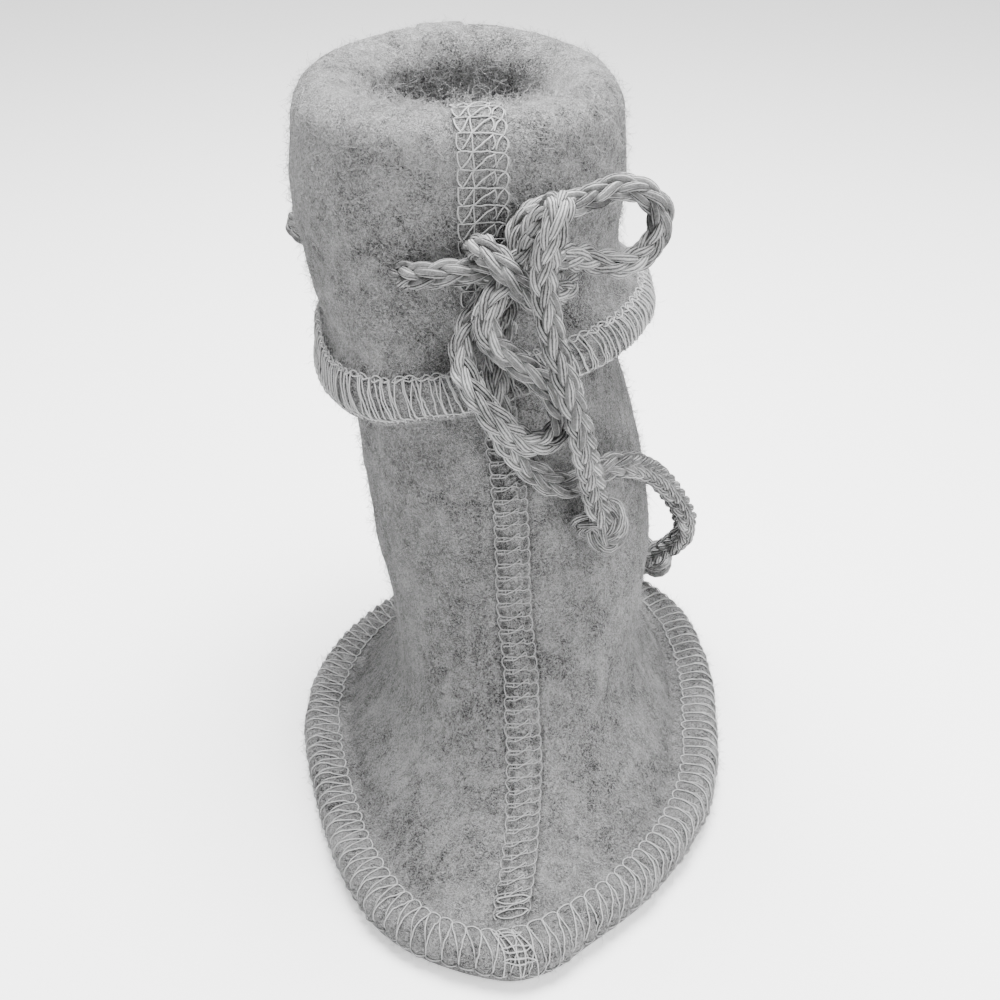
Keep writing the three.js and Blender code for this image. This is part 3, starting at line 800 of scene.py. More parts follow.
slitRight = math.radians(backCord["angle"]) + shoe["collarTwist"]
slitLeft = math.radians(360 - backCord["angle"]) + shoe["collarTwist"]
backLevel = shoe["foldHeight"] - backCord["drop"]
backRoute = [cuffPlace(slitRight, backLevel, -2.6), cuffPlace(slitRight + 0.09, backLevel, 0.8)]
backRoute += [cuffPlace(mix(slitRight, slitLeft, 0.1 + 0.8 * i / 10), backLevel, backCord["clear"])
              for i in range(11)]
backRoute += [cuffPlace(slitLeft - 0.09, backLevel, 0.8), cuffPlace(slitLeft, backLevel, -2.6)]
knitCord("drawcord_back", [backRoute], "drawcord_back", 10)
wrap = [Vector(point) + knot for point in (
    (-5.4, 3.4, 2.0), (-4.6, -0.4, 3.6), (-2.4, -3.0, 2.8), (0.2, -3.8, 0.4), (2.4, -2.8, -2.4),
    (3.6, 0.2, -4.4), (2.6, 3.4, -4.0))]
bowKnot = knitCord("bow_wrap", [
    wrap, *(outside(line, 0, root + 1.0) for line in (
        loopSide, loopFront, endFront, endSide, loopSide[::-1], loopFront[::-1]))], "bow_knot", 3)
loopSidePiece = knitCord("loop_side", [loopSideFree], "bow_loop_side", 4)
loopFrontPiece = knitCord("loop_front", [loopFrontFree], "bow_loop_front", 5)
endFrontPiece = knitCord("end_front", [endFrontFree], "cord_end_front", 6)
endSidePiece = knitCord("end_side", [endSideFree], "cord_end_side", 7)
knotFrontPiece = knitCord("overhand_front", [overhand(endFront[-1], 1.15, 0.4)], "end_knot_front", 8, 0.82)
knotSidePiece = knitCord("overhand_side", [overhand(endSide[-1], 1.15, 1.4)], "end_knot_side", 9, 0.82)


def freeCord(piece, line):
    path = [point * mm for point in smoothLine(line, 1.0)]
    length = lengthOf(path)
    print(f"  {piece.name} is {length * 1000:.0f} mm long")
    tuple(path[0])


freeCord(loopSidePiece, loopSideFree)
freeCord(loopFrontPiece, loopFrontFree)
freeCord(endFrontPiece, endFrontFree)
freeCord(endSidePiece, endSideFree)

print("felt upper")


# Outward normals of a grid of rows, the rows running on round the wall
def gridNormals(grid, closedRows=False):
    along = np.roll(grid, -1, axis=1) - np.roll(grid, 1, axis=1)
    if closedRows:
        up = np.roll(grid, -1, axis=0) - np.roll(grid, 1, axis=0)
    else:
        up = np.gradient(grid, axis=0)
    normal = np.cross(along, up)
    return normal / np.maximum(np.linalg.norm(normal, axis=2, keepdims=True), 1e-9)


# A grid of points and normals, read between its rows and columns
class Cloth:
    def __init__(self, points, normals, wrapRows=False):
        self.points = points
        self.normals = normals
        self.rows, self.cols = points.shape[:2]
        self.wrapRows = wrapRows

    def at(self, row, col, lift):
        low = math.floor(row)
        left = math.floor(col)
        if not self.wrapRows:
            low = min(max(low, 0), self.rows - 2)
        r, c = row - low, col - left
        total = np.zeros(3)
        normal = np.zeros(3)
        for i, rowShare in ((0, 1 - r), (1, r)):
            for j, columnShare in ((0, 1 - c), (1, c)):
                a, b = (low + i) % self.rows, (left + j) % self.cols
                total += self.points[a, b] * (rowShare * columnShare)
                normal += self.normals[a, b] * (rowShare * columnShare)
        return Vector(total + normal / max(np.linalg.norm(normal), 1e-9) * lift)


def smoothStep(value, low, high):
    share = np.clip((value - low) / (high - low), 0, 1)
    return share * share * (3 - 2 * share)


def lumps(points, size, seed):
    shift = Vector((seed * 13.7, seed * 7.1, seed * 3.3))
    return np.array([[noise.noise(Vector(point) / size + shift) for point in row] for row in points])


# Meshes a grid that closes round the columns, and round the rows too where they meet
def gridMesh(name, grid, material, closedRows=True, layers=None):
    rows, cols = grid.shape[:2]
    mesh = bpy.data.meshes.new(name)
    bands = rows if closedRows else rows - 1
    a = np.arange(bands)[:, None] * cols + np.arange(cols)[None, :]
    b = np.arange(bands)[:, None] * cols + (np.arange(cols)[None, :] + 1) % cols
    c = (np.arange(bands)[:, None] + 1) % rows * cols + (np.arange(cols)[None, :] + 1) % cols
    d = (np.arange(bands)[:, None] + 1) % rows * cols + np.arange(cols)[None, :]
    faces = np.stack([a, b, c, d], axis=2).reshape(-1, 4)
    mesh.from_pydata((grid.reshape(-1, 3) * mm).tolist(), [], faces.tolist())
    mesh.shade_smooth()
    for key, values in (layers or {}).items():
        layer = mesh.attributes.new(key, "FLOAT", "POINT")
        layer.data.foreach_set("value", np.asarray(values, dtype=np.float32).ravel())
    mesh.materials.append(material)
    print(f"  {name}: {len(faces) * 2} triangles")
    return addToScene(bpy.data.objects.new(name, mesh))


# The whole cloth as one closed wall: outside of brim, foot and shaft, fold, cuff, and back down inside
rowsOf = {}
wall = []
hemRows = []
cuffRows = []
cuffSteps = 52


def addRows(label, rows):
    rowsOf[label] = (len(wall), len(wall) + len(rows))
    wall.extend(rows)


heights = [mix(topOfBrim, shoe["ankleHeight"], i / 56) for i in range(1, 57)]
heights += [mix(shoe["ankleHeight"], shoe["foldHeight"], i / 46) for i in range(1, 46)]
brimRows = [brimRow(1 - i / 8, topOfBrim) for i in range(9)]
outer = np.array(brimRows + [levelRow(ringAt(z), z) for z in heights])
inner = outer - gridNormals(outer) * shoe["thickness"]
addRows("brim", list(outer[:9]))
addRows("shaft", list(outer[9:]))
addRows("foldUnder", [foldRow(foldMid, math.pi * (1 - i / 8)) for i in range(0, 9)])
addRows("cuffUnder", [cuffRow(i / 16, shoe["thickness"]) for i in range(1, 16)])
hemHalf = shoe["thickness"] / 2
for turn in np.linspace(0, math.pi, 9):
    hemRows.append(cuffRow(1, hemHalf + hemHalf * math.cos(turn), 1.4 * math.sin(turn) - 0.9))
addRows("hem", hemRows)
for drop in (1 - i / cuffSteps for i in range(2, cuffSteps)):
    cuffRows.append(cuffRow(drop, -shoe["hemSwell"] * float(smoothStep(drop, 0.8, 0.86))))
addRows("cuff", cuffRows)
addRows("fold", [foldRow(shoe["foldRadius"], math.pi * i / 24) for i in range(0, 25)])
addRows("inside", [inner[i] for i in range(len(outer) - 3, 12, -2)])
addRows("under", [brimRow(-0.2, underUpper), brimRow(0.3, underUpper), brimRow(0.7, underUpper),
                  brimRow(1, underUpper), brimRow(1, mix(underUpper, topOfBrim, 0.5), 0.4)])
wall = np.array(wall)
normals = gridNormals(wall, True)

# Relief: the flat seams stand up, the felt is uneven, and dents and folds lie where the shoe has them
relief = {
    "seamHalf": 2.75, "cuffSeamHalf": 3.9, "seamRise": 0.45, "groove": 0.25, "lump": 0.34, "fine": 0.16,
}
# angle from the front seam, height, reach round, reach up, depth: hollows are negative
dents = [
    (-85, 75.0, 13.0, 7.0, -2.2), (-24, 96.0, 3.4, 3.0, -1.1), (24, 92.5, 3.4, 3.0, -1.1),
    (-100, 90.5, 5.0, 3.4, -1.2), (100, 90.5, 5.0, 3.4, -1.2), (-60, 93.0, 15.0, 2.6, -0.5),
    (-42, 83.0, 9.0, 3.2, 0.6), (-12, 84.0, 7.0, 4.0, -0.5), (46, 84.0, 8.0, 4.0, 0.9),
    (-70, 104.0, 10.0, 4.0, 0.4), (62, 103.0, 9.0, 5.0, 0.5), (14, 108.0, 7.0, 5.0, 0.35),
    (-160, 86.0, 10.0, 4.0, 0.7), (150, 98.0, 12.0, 4.0, 0.5),
]
shaftDents = [
    (-30, 52.0, 9.0, 3.2, -0.5), (26, 46.0, 8.0, 3.0, -0.6), (-58, 38.0, 12.0, 2.6, -0.6),
    (48, 33.0, 10.0, 2.6, -0.5), (-150, 40.0, 12.0, 3.0, -0.8), (140, 46.0, 12.0, 3.0, -0.8),
    (-36, 22.0, 9.0, 5.0, 0.5), (30, 18.0, 9.0, 5.0, 0.5), (12, 62.0, 7.0, 9.0, 0.3),
]


def bump(points, centre, places):
    total = np.zeros(points.shape[:2])
    for angle, height, wide, tall, depth in places:
        turned = math.radians(angle) + shoe["collarTwist"]
        ring = ringAt(height)
        spot = np.array((centre + math.sin(turned) * ring["half"] * 1.25,
                         ring["y"] - math.cos(turned) * ring["front"] * 1.15, height))
        away = points - spot
        flat = np.hypot(away[..., 0], away[..., 1]) / wide
        total += depth * np.exp(-(flat**2) - (away[..., 2] / tall) ** 2)
    return total


farOff = 9.0
offsets = np.where(columns[:, 2] == 0, columns[:, 0], farOff)
push = lumps(wall, 9.0, 1) * relief["lump"] + lumps(wall, 3.2, 2) * relief["fine"]
for label in ("brim", "shaft", "cuff", "fold"):
    low, high = rowsOf[label]
    wide = relief["seamHalf" if label in ("brim", "shaft") else "cuffSeamHalf"]
    band = relief["seamRise"] * (1 - smoothStep(offsets, wide - 0.35, wide + 0.35))
    band = band - relief["groove"] * np.exp(-(((offsets - wide - 0.3) / 0.35) ** 2))
    push[low:high] += band
for label, centre, places in (("cuff", shoe["collarLean"], dents), ("shaft", -4.0, shaftDents)):
    low, high = rowsOf[label]
    push[low:high] += bump(wall[low:high], centre, places)
for label in ("foldUnder", "cuffUnder", "under"):
    low, high = rowsOf[label]
    push[low:high] = 0
# The brim stays under the sewn rim that goes over its edge: how far it is pulled in, row by row
brimPull = np.array([1.9, 1.5, 1.0, 0.7, 0.5, 0.3])
edgePull = 1.2
push[:6] = -brimPull[:, None]
push[-2:] = -edgePull
felt = wall + normals * push[..., None]
feltNormals = gridNormals(felt, True)
feltCloth = Cloth(felt, feltNormals, True)

sewing = {
    "thread": 0.125, "sides": 5, "lift": 0.04, "wander": 0.2,
    "seamPitch": 2.2, "cuffPitch": 2.7, "rimPitch": 2.8, "hemPitch": 2.5,
}


def wander(across, along, seed):
    spot = Vector((across * 0.9, along * 1.3, seed * 5.0))
    ahead = noise.noise(spot + Vector((9, 4, 2))) * 0.35
    return noise.noise(spot) * sewing["wander"], ahead * sewing["wander"]


# Distances along one column of a cloth between two rows, to read rows from millimetres
class SeamLine:
    def __init__(self, cloth, column, first, last, pitch):
        self.cloth = cloth
        self.column = column
        self.pitch = pitch
        step = 1 if last > first else -1
        self.rows = list(range(first, last + step, step))
        line = [Vector(cloth.points[row % cloth.rows, column]) for row in self.rows]
        self.reach = [0.0]
        for a, b in zip(line, line[1:]):
            self.reach.append(self.reach[-1] + (b - a).length)
        self.count = int(self.reach[-1] / pitch)

    def place(self, across, along, lift, seed):
        aside, ahead = wander(across, along, seed)
        row = np.interp((along + ahead) * self.pitch, self.reach, self.rows)
        return self.cloth.at(float(row), self.column + (across + aside) / columnStep, lift + sewing["lift"])


backColumn = len(columns) // 2
cuffLow = rowsOf["cuff"][0]
foldLow, foldHigh = rowsOf["fold"]
shaftLow, shaftHigh = rowsOf["shaft"]
underCuff = min(range(shaftLow, shaftHigh), key=lambda row: abs(wall[row, 0, 2] - 86))
frontSeam = SeamLine(feltCloth, 0, underCuff, 8, sewing["seamPitch"])
backSeam = SeamLine(feltCloth, backColumn, underCuff, 8, sewing["seamPitch"])
cuffFront = SeamLine(feltCloth, 0, foldHigh + 4, cuffLow + 9, sewing["cuffPitch"])
cuffBack = SeamLine(feltCloth, backColumn, foldLow + 8, cuffLow + 9, sewing["cuffPitch"])
# Marks beside the flat seams, where painted shade darkens the felt pushed up between the threads and the
# groove beside them
across = np.tile(offsets * columns[:, 4], (len(wall), 1))
across[:, 0] = across[:, backColumn] = 0
cell = np.zeros(wall.shape[:2])
seamShadeMask = np.zeros(wall.shape[:2])
turned = np.abs(np.arange(len(columns)) - backColumn) < 40
for seam, sideOf in ((frontSeam, ~turned), (backSeam, turned)):
    for row, reach in zip(seam.rows, seam.reach):
        cell[row, sideOf] = reach / seam.pitch + 1
        seamShadeMask[row, sideOf] = 1
upperPiece = gridMesh("felt_upper", felt, feltMaterial, True,
                      {"across": across, "cell": cell, "seamShadeMask": seamShadeMask})
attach(upperPiece, "root")
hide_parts("upper", "cuff")

print("sole and sewn rim")


# The rim goes round by distance, so the stitches are evenly spaced
def evenColumns(count):
    fine = np.array([(0.0, a, 1.0, 1, 1) for a in np.linspace(0, 2 * math.pi, 2001)])
    x, y, _, _ = ringColumns(soleRing, fine)
    steps = np.concatenate([[0], np.cumsum(np.hypot(np.diff(x), np.diff(y)))])
    angles = np.interp(np.arange(count) / count * steps[-1], steps, fine[:, 1])
    return np.array([(0.0, a, 1.0, 1, 1) for a in angles]), steps[-1]


_, rimLength = evenColumns(8)
rimStitches = round(rimLength / sewing["rimPitch"])
perStitch = 6
rimColumns, _ = evenColumns(rimStitches * perStitch)
# out share of the brim, height, from underneath round the edge to the inner line on top
rimSection = [(0.55, 0.1), (0.72, 0.12), (0.85, 0.3), (0.93, 0.8), (0.99, 1.5), (1.03, 2.3), (1.045, 3.1),
              (1.04, 4.0), (1.0, 4.9), (0.93, 5.7), (0.83, 6.3), (0.7, 6.65), (0.54, 6.8), (0.38, 6.75),
              (0.22, 6.55), (0.08, 6.38), (-0.02, 6.2), (-0.12, 5.8)]
rimGrid = np.array([brimRow(out, height, 0, rimColumns) for out, height in rimSection])
rimGrid = sum(np.roll(rimGrid, shift, axis=1) for shift in range(-5, 6)) / 11
rimNormals = gridNormals(rimGrid)
# The felt bulges between the stitches, most on the outside of the rim
phase = np.arange(rimStitches * perStitch) / perStitch % 1
scallop = np.abs(np.sin(math.pi * phase)) ** 0.7
strength = np.array([0, 0, 0.5, 0.9, 1.1, 1.2, 1.2, 1.2, 1.2, 1.1, 1, 0.9, 0.8, 0.6, 0.4, 0.2, 0.05, 0])
rimPush = ((scallop[None, :] - 0.6) * 0.66 + lumps(rimGrid, 4.0, 3) * 0.3) * strength[:, None]
rimGrid = rimGrid + rimNormals * rimPush[..., None]
rimGrid[..., 2] = np.maximum(rimGrid[..., 2], 0.05)
rimCloth = Cloth(rimGrid, gridNormals(rimGrid))
rimPiece = gridMesh("sewn_rim", rimGrid, feltMaterial)
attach(rimPiece, "root")

# out share of the brim, or below nought how many brims in from it; height
soleRows = [(-3.6, 3.0), (-2.0, 3.0), (0.0, 3.0), (0.5, 3.0), (0.92, 2.9), (1.0, 2.3), (1.0, 0.9),
            (0.92, 0.35), (0.5, 0.02), (0.0, 0.0), (-2.0, 0.0), (-3.6, 0.0)]
soleGrid = np.array([
    brimRow(out, height) if out >= 0 else levelRow(inset(creaseRing, -out * shoe["brim"]), height)
    for out, height in soleRows])
soleMesh = bpy.data.meshes.new("felt_sole")
rowsCount, colsCount = soleGrid.shape[:2]
points = np.vstack([soleGrid.reshape(-1, 3), [[0, creaseRing["y"], 3.0], [0, creaseRing["y"], 0.0]]])
faces = []
for row in range(rowsCount - 1):
    for col in range(colsCount):
        a, b = row * colsCount + col, row * colsCount + (col + 1) % colsCount
        faces.append((b, a, a + colsCount, b + colsCount))
last = (rowsCount - 1) * colsCount
for col in range(colsCount):
    faces.append((col, (col + 1) % colsCount, len(points) - 2))
    faces.append((last + (col + 1) % colsCount, last + col, len(points) - 1))
soleMesh.from_pydata((points * mm).tolist(), [], faces)
soleMesh.shade_smooth()
soleMesh.materials.append(soleMaterial)
solePiece = addToScene(bpy.data.objects.new("felt_sole", soleMesh))
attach(solePiece, "root")
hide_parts("sole")

print("sewing")

# One stitch of each seam as strokes: across in mm, along in stitches, and extra lift in mm
vampStitch = [
    [(-2.4, 0.0, 0), (-2.75, 0.28, 0.1), (-2.7, 0.62, 0.1), (-2.4, 1.0, 0)],
    [(-2.4, 0.0, 0), (-1.9, 0.03, 0.1), (-1.25, 0.0, 0.1), (-0.2, 0.04, 0.1), (1.0, -0.02, 0)],
    [(-2.45, 0.3, 0), (-1.9, 0.27, 0.1), (-1.3, 0.3, 0.05)],
    [(-1.3, 0.3, 0), (-1.25, 0.15, 0.1), (-1.25, 0.0, 0)],
    [(-1.25, 0.32, 0.05), (-0.1, 0.06, 0.2), (1.05, -0.3, 0.05)],
    [(1.05, -0.3, 0.0), (1.2, -0.12, 0.1), (1.0, 0.05, 0)],
    [(1.0, -0.02, 0.05), (1.5, 0.1, 0.1), (2.2, 0.0, 0.1), (2.6, 0.25, 0.05), (2.65, 0.7, 0), (2.3, 1.0, 0)],
]
cuffStitch = [
    [(-3.75, 0.0, 0), (-3.72, 0.45, 0.1), (-3.55, 0.8, 0.1), (-3.2, 0.98, 0.05)],
    [(-3.65, 0.0, 0.05), (-1.5, 0.02, 0.15), (0.6, 0.05, 0.15), (1.9, 0.12, 0.1), (3.15, 0.24, 0.0)],
    [(-1.5, 0.02, 0.15), (-1.5, 0.5, 0.1), (-1.38, 1.02, 0.15)],
    [(-3.05, 0.9, 0.1), (-2.3, 0.5, 0.2), (-1.6, 0.08, 0.25)],
    [(-1.3, 0.98, 0.2), (0.1, 0.5, 0.3), (1.25, 0.26, 0.25), (1.6, 0.16, 0.1)],
    [(1.5, 0.16, 0.1), (1.72, 0.45, 0.15), (1.7, 0.75, 0.1), (1.3, 0.92, 0.0)],
    [(1.8, 0.95, 0.1), (2.2, 0.55, 0.2), (2.9, 0.28, 0.1)],
    [(2.95, 0.22, 0.05), (3.5, 0.48, 0.15), (3.55, 0.85, 0.15), (3.15, 1.2, 0.05)],
    [(3.2, 0.3, 0.0), (3.85, 0.65, 0.1), (3.9, 0.95, 0.0)],
]
# across is the row of the rim, counted from its inner line to underneath
rimStitch = [
    [(3.5, 0.0, 0.0), (3.2, 0.3, 0.05), (3.2, 0.72, 0.05), (3.5, 1.0, 0.0)],
    [(3.5, 0.0, 0.1), (5.5, 0.02, 0.05), (8.0, 0.03, 0.05), (11.0, 0.02, 0.0), (13.9, 0.0, -0.05)],
    [(3.5, 1.0, 0.05), (5.4, 0.76, 0.05), (7.6, 0.46, 0.05), (10.0, 0.2, 0.05), (12.8, 0.02, 0.0)],
    [(12.9, 0.0, 0.0), (12.6, 0.3, 0.05), (12.6, 0.7, 0.05), (12.9, 1.0, 0.0)],
]
# across is mm above the hem's edge; below nought it is under the edge
hemStitch = [
    [(6.0, 0.0, 0.0), (6.4, 0.3, 0.12), (6.3, 0.7, 0.12), (6.0, 1.0, 0.0)],
    [(5.9, 0.05, 0.05), (5.7, 0.4, 0.25), (6.0, 0.8, 0.25), (6.1, 1.05, 0.05)],
    [(6.1, 0.0, 0.1), (4.3, 0.25, 0.25), (2.2, 0.6, 0.25), (0.4, 0.95, 0.1), (-0.8, 1.05, 0.0)],
    [(6.2, 0.35, 0.15), (4.6, 0.4, 0.4), (2.4, 0.55, 0.4), (0.3, 0.95, 0.15)],
    [(6.1, 0.65, 0.0), (3.4, 1.05, 0.15), (1.0, 1.35, 0.15), (-0.6, 1.45, 0.0)],
    [(0.0, -0.25, 0.1), (0.5, 0.2, 0.3), (0.3, 0.65, 0.3), (-0.4, 0.9, 0.1)],
]


# Lays every stroke of a stitch on a cloth, once for each cell; loose lets its ends stray, in cells
def sewn(strokes, cells, place, seed, stretch=2.5, step=0.6, loose=0.0):
    runs = []
    for cell in cells:
        for number, stroke in enumerate(strokes):
            stray = [noise.noise(Vector((cell * 5.3 + end, number * 3.7, seed + 0.5))) * loose
                     for end in (0, 31.4)]
            last = len(stroke) - 1
            flat = smoothLine([(across, (cell + along + mix(*stray, i / last)) * stretch, lift)
                               for i, (across, along, lift) in enumerate(stroke)], step)
            line = [place(point.x, point.y / stretch, point.z, seed) for point in flat]
            tint = noise.noise(Vector((cell * 3.1, number * 7.7, seed)))
            runs.append((line, [1.0] * len(line), tint))
    return runs


def rimPlace(across, along, lift, seed):
    aside, ahead = wander(across, along, seed)
    return rimCloth.at(17 - across - aside * 1.6, (along + ahead) * perStitch, lift + sewing["lift"] + 0.1)


hemLoop = felt[cuffLow]
hemSteps = np.concatenate([[0], np.cumsum(np.linalg.norm(np.roll(hemLoop, -1, axis=0) - hemLoop, axis=1))])
hemCount = round(hemSteps[-1] / sewing["hemPitch"])


def hemPlace(across, along, lift, seed):
    aside, ahead = wander(across, along, seed)
    column = np.interp(((along + ahead) / hemCount % 1) * hemSteps[-1], hemSteps, np.arange(len(hemSteps)))
    row = cuffLow + (across + aside - 0.8) / (shoe["cuffDrop"] / cuffSteps)
    return feltCloth.at(float(row), float(column), lift + sewing["lift"])


def thread(name, runs, thickness=1.0, material=threadMaterial):
    made = tubes(name, runs, sewing["thread"] * thickness, sewing["sides"], material)
    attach(made, "root")
    return made


seamRuns = sewn(vampStitch, range(1, frontSeam.count), frontSeam.place, 1)
seamRuns += sewn(vampStitch, range(1, backSeam.count), backSeam.place, 2)
thread("seam_thread", seamRuns, 0.85, dullThreadMaterial)
cuffRuns = sewn(cuffStitch, range(cuffFront.count), cuffFront.place, 3)
cuffRuns += sewn(cuffStitch, range(cuffBack.count), cuffBack.place, 4)
thread("cuff_seam_thread", cuffRuns)
toeEnd = int(np.argmin(np.abs(rimGrid[12, :, 0] - felt[8, 0, 0]) + (rimGrid[12, :, 1] > 0) * 100))


# Long loops where the front seam runs over the rim at the toe: across in mm, along in rows of the rim
def toePlace(across, along, lift, seed):
    column = toeEnd + (across - 0.4) / (rimLength / rimStitches / perStitch)
    return rimCloth.at(17 - along, column, lift + sewing["lift"] + 0.15)


def oval(middle, wide, tall, turn):
    turns = [2 * math.pi * i / 8 for i in range(9)]
    return [(math.cos(t) * wide, middle + math.sin(t) * tall + math.cos(t) * turn, 0.1) for t in turns]


toeLoops = [oval(4.7, 2.4, 0.35, 0.1), oval(7.4, 2.5, 0.5, -0.1), oval(9.4, 2.5, 0.45, 0.12),
            [(-2.4, 3.4, 0), (-2.5, 5.5, 0.1), (-2.3, 8.0, 0.1), (-2.5, 12.5, 0)],
            [(-1.0, 3.4, 0), (-0.7, 5.5, 0.1), (-0.3, 8.0, 0.1), (0.1, 12.5, 0)],
            [(1.5, 3.4, 0), (1.3, 5.5, 0.1), (0.9, 8.0, 0.1), (0.3, 12.5, 0)],
            [(1.7, 3.4, 0), (2.0, 5.5, 0.1), (2.4, 8.0, 0.1), (2.7, 12.5, 0)]]
vampEnd = [oval(frontSeam.count - 0.35, 2.4, 0.33, 0.08), oval(frontSeam.count - 1.4, 2.4, 0.3, 0.12)]
rimRuns = sewn(rimStitch, range(rimStitches), rimPlace, 5)
rimRuns += sewn(toeLoops, [0], toePlace, 7, stretch=1.0) + sewn(vampEnd, [0], frontSeam.place, 8)
thread("rim_thread", rimRuns)
hemRuns = sewn(hemStitch, range(hemCount), hemPlace, 6, loose=0.55)
thread("hem_thread", hemRuns, 1.0, paintedLightHemThreadMaterial)

print("loose wool")
# how many fibres each place gets, and a fibre's length, thickness and curl in mm
wool = {
    "foot": 9500, "cuff": 9500, "rim": 5200, "lip": 1500,
    "fibre": 1.8, "thick": 0.036, "curl": 1.1, "seed": 4,
}


# A geometry tree that strews short curled fibres over a cloth, more where the cloth's nap is higher
def makeWoolTree():
    tree = bpy.data.node_groups.new("loose wool fibres", "GeometryNodeTree")
    socketOf(tree, "Geometry", "NodeSocketGeometry")
    socketOf(tree, "Density", "NodeSocketFloat", 500000)
    socketOf(tree, "Length", "NodeSocketFloat", 0.0015)
    socketOf(tree, "Thickness", "NodeSocketFloat", 0.00003)
    socketOf(tree, "Curl", "NodeSocketFloat", 0.0009)
    socketOf(tree, "Points", "NodeSocketInt", 4)
    socketOf(tree, "Seed", "NodeSocketInt", 1)
    socketOf(tree, "Material", "NodeSocketMaterial")
    tree.interface.new_socket("Geometry", in_out="OUTPUT", socket_type="NodeSocketGeometry")
    given = tree.nodes.new("NodeGroupInput").outputs

    def maths(operation, *values):
        made = tree.nodes.new("ShaderNodeMath")
        made.operation = operation
        for socket, value in zip(made.inputs, values):
            if isinstance(value, bpy.types.NodeSocket):
                tree.links.new(value, socket)
            else:
                socket.default_value = value
        return made.outputs[0]

    nap = treeNode(tree, "GeometryNodeInputNamedAttribute", {"data_type": "FLOAT"}, Name="nap").outputs[0]
    strewn = treeNode(tree, "GeometryNodeDistributePointsOnFaces", None, Mesh=given["Geometry"],
                      Density=maths("MULTIPLY", nap, given["Density"]), Seed=given["Seed"])
    line = treeNode(tree, "GeometryNodeCurvePrimitiveLine")
    top = treeNode(tree, "ShaderNodeCombineXYZ", None, Z=given["Length"])
    tree.links.new(top.outputs[0], line.inputs["End"])
    fibre = treeNode(tree, "GeometryNodeResampleCurve", None, Curve=line.outputs[0], Count=given["Points"])
    turn = treeNode(tree, "FunctionNodeRandomValue", {"data_type": "FLOAT_VECTOR"}, Seed=given["Seed"])
    turn.inputs["Min"].default_value = (0.75, 0, 0)
    turn.inputs["Max"].default_value = (1.6, 0, 0)
    spin = treeNode(tree, "FunctionNodeRandomValue", {"data_type": "FLOAT_VECTOR"},
                    Seed=maths("ADD", given["Seed"], 11))
    spin.inputs["Min"].default_value = (0, 0, 0)
    spin.inputs["Max"].default_value = (0, 0, 6.283)
    turned = strewn.outputs["Rotation"]
    for euler in (spin, turn):
        by = treeNode(tree, "FunctionNodeEulerToRotation", None, Euler=euler.outputs["Value"])
        turned = treeNode(tree, "FunctionNodeRotateRotation", {"rotation_space": "LOCAL"}, Rotation=turned,
                          Rotate_By=by.outputs[0]).outputs[0]
    scale = treeNode(tree, "FunctionNodeRandomValue", {"data_type": "FLOAT"},
                     Seed=maths("ADD", given["Seed"], 5))
    scale.inputs[2].default_value = 0.45
    scale.inputs[3].default_value = 1.5
    placed = treeNode(tree, "GeometryNodeInstanceOnPoints", None, Points=strewn.outputs["Points"],
                      Instance=fibre.outputs[0], Rotation=turned, Scale=scale.outputs[1])
    real = treeNode(tree, "GeometryNodeRealizeInstances", None, Geometry=placed.outputs[0])
    share = treeNode(tree, "GeometryNodeSplineParameter").outputs["Factor"]
    shift = None
    for size, strength in ((700, 1.3), (2400, 0.8)):
        waves = treeNode(tree, "ShaderNodeTexNoise", {"noise_dimensions": "3D"}, Scale=size, Detail=1.0)
        centred = treeNode(tree, "ShaderNodeVectorMath", {"operation": "SUBTRACT"})
        tree.links.new(waves.outputs["Color"], centred.inputs[0])
        centred.inputs[1].default_value = (0.5, 0.5, 0.5)
        grownBy = treeNode(tree, "ShaderNodeVectorMath", {"operation": "SCALE"})
        tree.links.new(centred.outputs[0], grownBy.inputs[0])
        tree.links.new(maths("MULTIPLY", maths("MULTIPLY", given["Curl"], strength * 2), share),
                       grownBy.inputs["Scale"])
        if shift is None:
            shift = grownBy.outputs[0]
        else:
            both = treeNode(tree, "ShaderNodeVectorMath", {"operation": "ADD"})
            tree.links.new(shift, both.inputs[0])
            tree.links.new(grownBy.outputs[0], both.inputs[1])
            shift = both.outputs[0]
    curled = treeNode(tree, "GeometryNodeSetPosition", None, Geometry=real.outputs[0], Offset=shift)
    section = treeNode(tree, "GeometryNodeCurvePrimitiveCircle", {"mode": "RADIUS"}, Resolution=3,
                       Radius=given["Thickness"])
    tapered = treeNode(tree, "GeometryNodeSetCurveRadius", None, Curve=curled.outputs[0],
                       Radius=maths("SUBTRACT", 1.0, maths("MULTIPLY", share, 0.6)))
    hairs = treeNode(tree, "GeometryNodeCurveToMesh", None, Curve=tapered.outputs[0],
                     Profile_Curve=section.outputs["Curve"])
    radius = [socket for socket in hairs.inputs if socket.name == "Scale"]
    if radius:
        tree.links.new(treeNode(tree, "GeometryNodeInputRadius").outputs[0], radius[0])
    smooth = treeNode(tree, "GeometryNodeSetShadeSmooth", None, Geometry=hairs.outputs["Mesh"])
    whole = treeNode(tree, "GeometryNodeRealizeInstances", None, Geometry=smooth.outputs["Geometry"])
    painted = treeNode(tree, "GeometryNodeSetMaterial", None, Geometry=whole.outputs["Geometry"],
                       Material=given["Material"])
    tree.links.new(painted.outputs["Geometry"], tree.nodes.new("NodeGroupOutput").inputs["Geometry"])
    return tree


woolTree = makeWoolTree()


def areaOf(mesh, nap):
    return sum(face.area * sum(nap[i] for i in face.vertices) / len(face.vertices) for face in mesh.polygons)


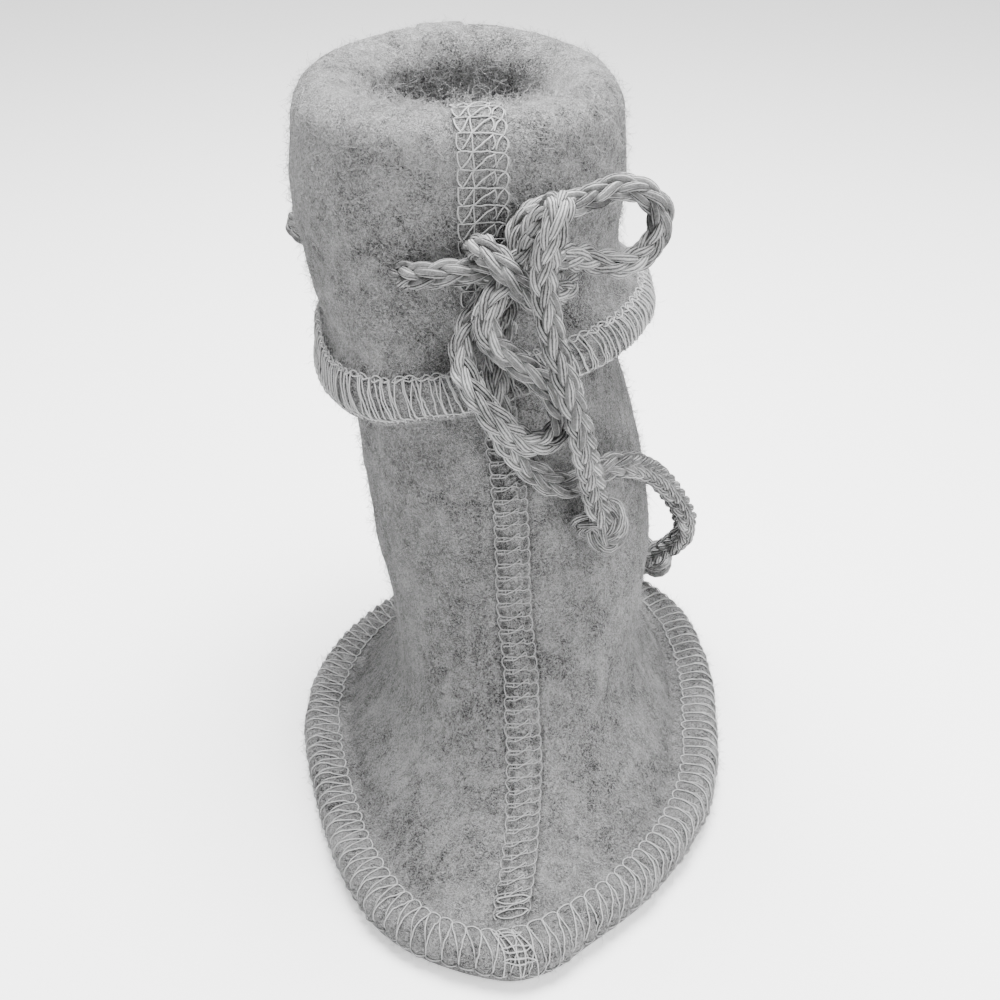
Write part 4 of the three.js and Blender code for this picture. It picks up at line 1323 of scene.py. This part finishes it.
# Fibres over one cloth; nap says how thickly they stand at each of its points
def looseWool(name, piece, nap, count, length, points, seed):
    mesh = piece.data.copy()
    layer = mesh.attributes.new("nap", "FLOAT", "POINT")
    values = np.asarray(nap, dtype=np.float32).ravel()
    layer.data.foreach_set("value", values)
    made = grown(name, bpy.data.objects.new(name + "_ground", mesh), woolTree, fuzzMaterial,
                 Density=count / areaOf(mesh, values), Length=length * mm, Thickness=wool["thick"] * mm,
                 Curl=wool["curl"] * mm * length / wool["fibre"], Points=points, Seed=seed)
    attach(made, "root")
    return made


def napOf(*bands):
    nap = np.zeros(wall.shape[:2])
    for low, high in bands:
        nap[low:high] = 1
    return nap


insideLow = rowsOf["inside"][0]
looseWool("loose_wool_foot", upperPiece, napOf((3, underCuff - 4)), wool["foot"], wool["fibre"], 4,
          wool["seed"])
looseWool("loose_wool_cuff", upperPiece, napOf((cuffLow, foldHigh), (insideLow, insideLow + 8)), wool["cuff"],
          wool["fibre"], 4, wool["seed"] + 1)
atFront = (np.abs(columns[:, 1]) < 1.2) & (columns[:, 3] > 0)
lipNap = napOf((foldLow + 12, foldHigh), (insideLow, insideLow + 3)) * atFront[None, :]
looseWool("loose_wool_lip", upperPiece, lipNap, wool["lip"], wool["fibre"] * 2.0, 9, wool["seed"] + 2)
rimNap = np.zeros(rimGrid.shape[:2])
rimNap[4:15] = 1
looseWool("loose_wool_rim", rimPiece, rimNap, wool["rim"], wool["fibre"] * 0.8, 4, wool["seed"] + 3)

print("floor")
half = floor["size"] / 2 * mm
ground = bpy.data.meshes.new("floor")
corners = [(-half, -half, 0), (half, -half, 0), (half, half, 0), (-half, half, 0)]
ground.from_pydata(corners, [], [(0, 1, 2, 3)])
floorObject = addToScene(bpy.data.objects.new("floor", ground))
floorShader = Shader("pale_paper")
ground.materials.append(floorShader.shaded(Base_Color=(*floor["colour"], 1), Roughness=0.9,
                                           Specular_IOR_Level=0.1, Emission_Color=(1, 1, 1, 1),
                                           Emission_Strength=floor["glow"]))
